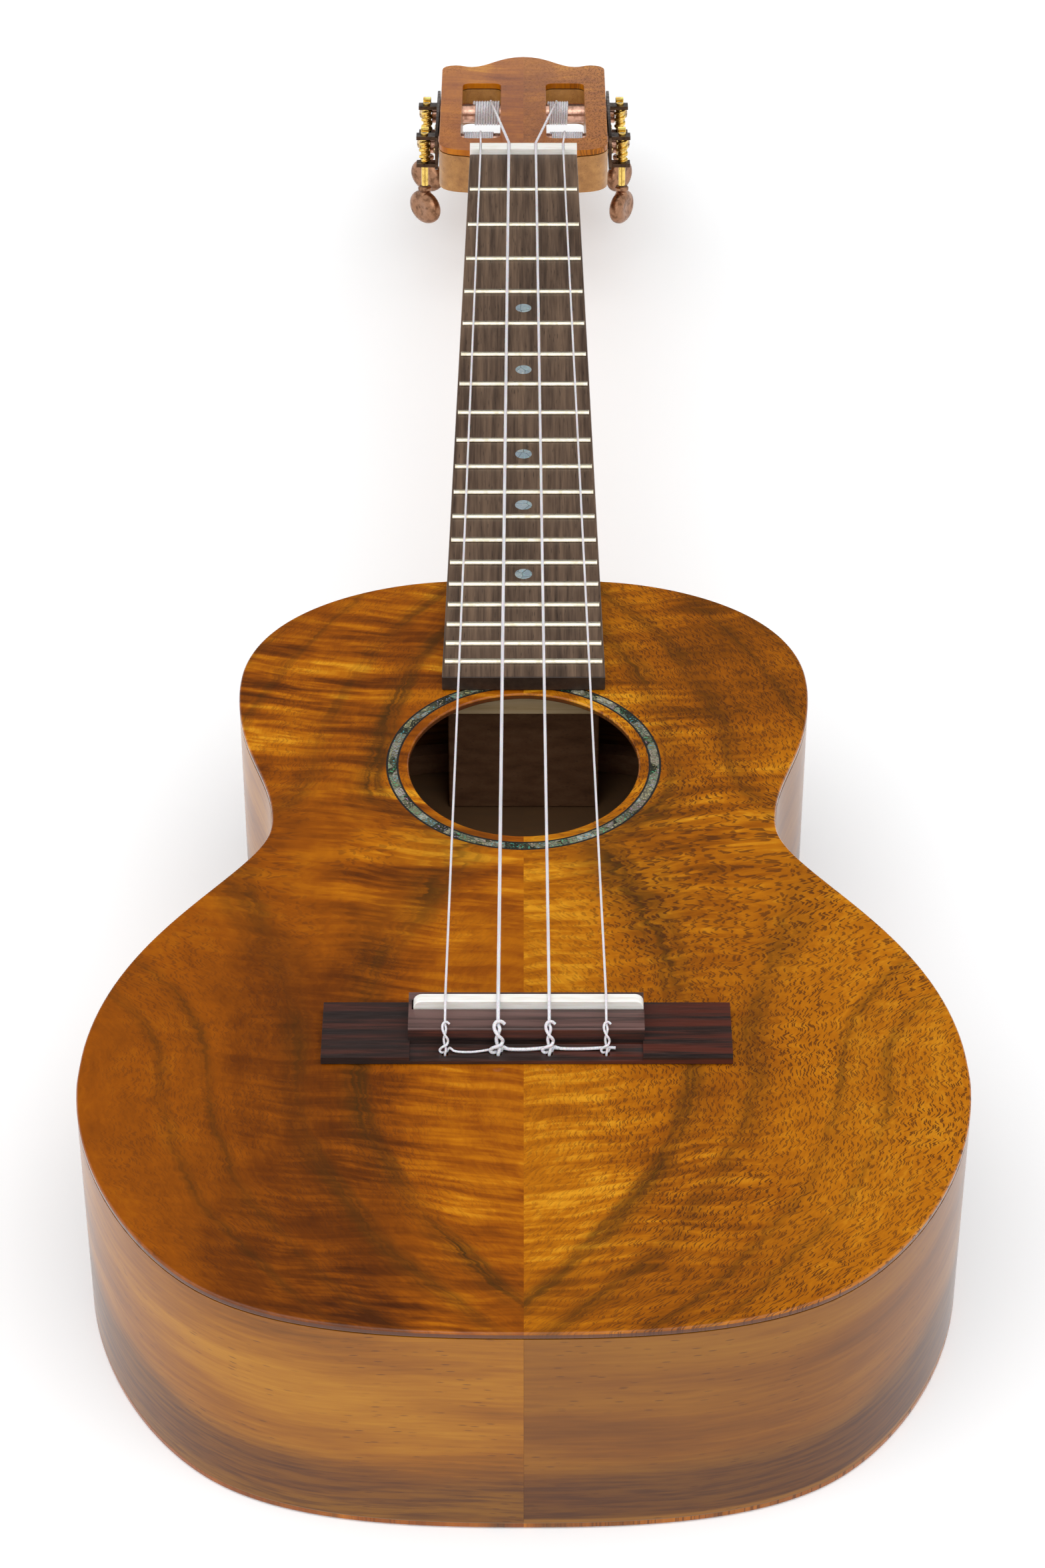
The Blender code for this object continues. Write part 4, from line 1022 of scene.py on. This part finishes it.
def make_worm(number):
    """A shaft with a right-hand thread, its groove in line with the gear's teeth."""
    node = f"tuner_worm_{number}"
    low_z, high_z = -12.6 * MM, 6.2 * MM
    shaft_r, root_r, tip_r = 1.2 * MM, 1.25 * MM, 2.0 * MM
    thread, run_out = 4.0 * MM, 0.35 * MM
    lead = 2 * math.pi * GEAR_PITCH_R / GEAR_TEETH
    around, along = 28, 72
    place = key_frame(number)
    shape = bmesh.new()
    rows = []

    def ring(z, radius_at):
        angles = [2 * math.pi * i / around for i in range(around)]
        rows.append([shape.verts.new((radius_at(a) * math.cos(a), radius_at(a) * math.sin(a), z))
                     for a in angles])

    def threaded(z):
        fade = max(0.0, min(1.0, (thread - abs(z)) / run_out))

        def radius_at(a):
            wave = -math.cos(2 * math.pi * z / lead - a)
            share = max(0.0, min(1.0, 0.5 + 0.95 * wave))
            return root_r + (tip_r - root_r) * share * fade
        return radius_at

    def plain(a):
        return shaft_r

    def tapered(a):
        return shaft_r * 0.8

    ring(low_z, plain)
    ring(-thread, plain)
    for i in range(along + 1):
        z = -thread + 2 * thread * i / along
        ring(z, threaded(z))
    ring(thread, plain)
    ring(high_z - 0.2 * MM, plain)
    ring(high_z, tapered)
    for first, second in zip(rows, rows[1:]):
        for i in range(around):
            j = (i + 1) % around
            shape.faces.new((first[i], first[j], second[j], second[i]))
    shape.faces.new(list(reversed(rows[0])))
    shape.faces.new(rows[-1])
    bmesh.ops.transform(shape, verts=shape.verts, matrix=place)
    piece = link(node + "_shown", finished(shape, node), f"key_{number}", GOLD)
    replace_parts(piece, node)


def button_turn(number, place):
    """The angle at which the CAD button's long side is turned about its shaft."""
    inverse = place.inverted()
    local = [inverse @ v.co for v in frame["nodes"][f"tuner_button_{number}"].data.vertices]
    widest = max(local, key=lambda p: math.hypot(p.x, p.y))
    return math.atan2(widest.y, widest.x) - math.pi / 2


def make_button(number):
    """An oval thumb button, dished on both faces, with a turned collar."""
    node = f"tuner_button_{number}"
    place = key_frame(number)
    faces = Matrix.Rotation(button_turn(number, place), 4, "Z")
    half_x, half_y, half_z = 3.0 * MM, 7.8 * MM, 5.7 * MM
    middle = -20.5 * MM
    shape = bmesh.new()
    bmesh.ops.create_uvsphere(shape, u_segments=40, v_segments=24, radius=1.0)
    for vert in shape.verts:
        out = math.hypot(vert.co.y, vert.co.z)
        dish = 1.0 - 0.28 * max(0.0, 1.0 - (out / 0.62) ** 2)
        vert.co = Vector((math.copysign(abs(vert.co.x) ** 0.8, vert.co.x) * half_x * dish,
                          vert.co.y * half_y, vert.co.z * half_z + middle))
    bmesh.ops.transform(shape, verts=shape.verts, matrix=place @ faces)
    piece = link(node + "_shown", finished(shape, node, 60), f"key_{number}", BUTTON_METAL)
    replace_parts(piece, node)
    profile = [(0, -16.4 * MM), (2.3 * MM, -16.0 * MM), (1.9 * MM, -14.9 * MM),
               (2.4 * MM, -14.2 * MM), (2.4 * MM, -13.4 * MM), (2.0 * MM, -13.0 * MM),
               (0, -13.0 * MM)]
    turned(f"button_collar_{number}", profile, place, f"key_{number}", BUTTON_METAL,
           24)


def make_tuners():
    for node in ("tuner_plate_left", "tuner_plate_right"):
        # the side plates in dark bronze, partly a painted dark reflection
        refine(node, BRONZE_AND_PAINTED_REFLECTION, 0.00025)
    for number in TUNERS:
        body = f"roller_{number}"
        refine(f"tuner_roller_{number}", COPPER, 0.0003)
        refine(f"tuner_gear_{number}", GOLD, 0.00018)
        make_worm(number)
        make_button(number)
        out = Vector((outward(number), 0, 0))
        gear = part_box(f"tuner_gear_{number}")
        face_x = gear[1].x if out.x > 0 else gear[0].x
        axis = axis_place(body)
        hub = [(0, -0.2 * MM), (2.9 * MM, -0.2 * MM), (2.9 * MM, 0.35 * MM), (2.6 * MM, 0.5 * MM),
               (0, 0.5 * MM)]
        centre = Vector((face_x, axis.y, axis.z))
        turned(f"gear_hub_{number}", hub, facing(centre, out), body, GOLD, 32)
        make_screw(f"gear_screw_{number}", centre + out * 0.5 * MM, out, 1.7 * MM, body)
    for side, name in ((-1, "left"), (1, "right")):
        for index, share in enumerate(SCREW_SHARES, start=1):
            place = axis_place("roller_1").lerp(axis_place("roller_2"), share)
            centre = Vector((side * PLATE_SCREW_X, place.y, place.z))
            make_screw(f"plate_screw_{name}_{index}", centre, Vector((side, 0, 0)), 1.3 * MM,
                       "root")


# ---------------------------------------------------------------- camera, floor and light
CAMERA_PLACE = (-0.0003, -0.7726, 0.7484)         # fitted to the photo's view of the frets
CAMERA_DOWN = 38.15                               # degrees below level
CAMERA_LENS = 93.16                               # mm, on a sensor 36 mm wide
SKY = 1.05                                        # strength of the sky's light
DARK_PATCH = 0.07                                 # and of its dark patch


def make_camera():
    data = bpy.data.cameras.new("camera")
    camera = bpy.data.objects.new("camera", data)
    bpy.context.scene.collection.objects.link(camera)
    camera.location = CAMERA_PLACE
    camera.rotation_euler = (math.radians(90 - CAMERA_DOWN), 0.0, 0.0)
    data.lens = CAMERA_LENS
    data.sensor_width = 36.0
    data.clip_start = 0.02
    bpy.context.scene.camera = camera


def make_floor():
    shape = bmesh.new()
    bmesh.ops.create_grid(shape, x_segments=1, y_segments=1, size=12)
    floor = bpy.data.objects.new("floor", finished(shape, "floor"))
    bpy.context.scene.collection.objects.link(floor)
    floor.location.z = CAD_BOX[0].z - 0.0003
    f = Finish("floor_finish", roughness=0.6, specular=0.2)
    tone = f.noise(f.place, 0.004, 2.0)
    f.shader.inputs["Emission Color"].default_value = (0.90, 0.95, 1.0, 1.0)
    f.shader.inputs["Emission Strength"].default_value = 0.14
    floor.data.materials.append(f.use(Base_Color=f.ramp(tone, [(0.2, 0.92), (0.8, 0.95)])))


def area_light(name, place, aim, size, power):
    data = bpy.data.lights.new(name, "AREA")
    data.shape = "RECTANGLE"
    data.size = data.size_y = size
    data.energy = power
    lamp = bpy.data.objects.new(name, data)
    bpy.context.scene.collection.objects.link(lamp)
    lamp.location = place
    lamp.rotation_euler = (Vector(aim) - Vector(place)).to_track_quat("-Z", "Y").to_euler()


def make_light():
    """A pale sky with a soft dark patch beyond the head, for the lacquer to reflect."""
    world = bpy.data.worlds.new("studio")
    bpy.context.scene.world = world
    world.use_nodes = True
    sky = Nodes(world.node_tree)
    x, y, z = sky.parts(sky.add("ShaderNodeTexCoord", output="Generated"))
    wide = sky.math("ABSOLUTE", x)
    patch = sky.span(y, 0.35, 0.60) * sky.span(z, 0.02, 0.14) * sky.span(wide, 0.35, 0.65, 1.0, 0.0)
    strength = patch * (DARK_PATCH - SKY) + SKY
    background = world.node_tree.nodes["Background"]
    background.inputs["Color"].default_value = (0.985, 0.992, 1.0, 1.0)
    world.node_tree.links.new(strength.socket, background.inputs["Strength"])
    area_light("key", (0.6, -0.7, 1.6), (0, 0.1, 0), 1.6, 7.0)
    area_light("fill", (-0.8, -0.5, 1.4), (0, 0.1, 0), 1.4, 5.5)
    bpy.context.scene.view_settings.view_transform = "Standard"


make_camera()
make_soundboard()
make_shell()
make_inside()
make_neck()
make_dots()
make_bridge()
make_strings()
make_windings()
make_tuners()
make_floor()
make_light()
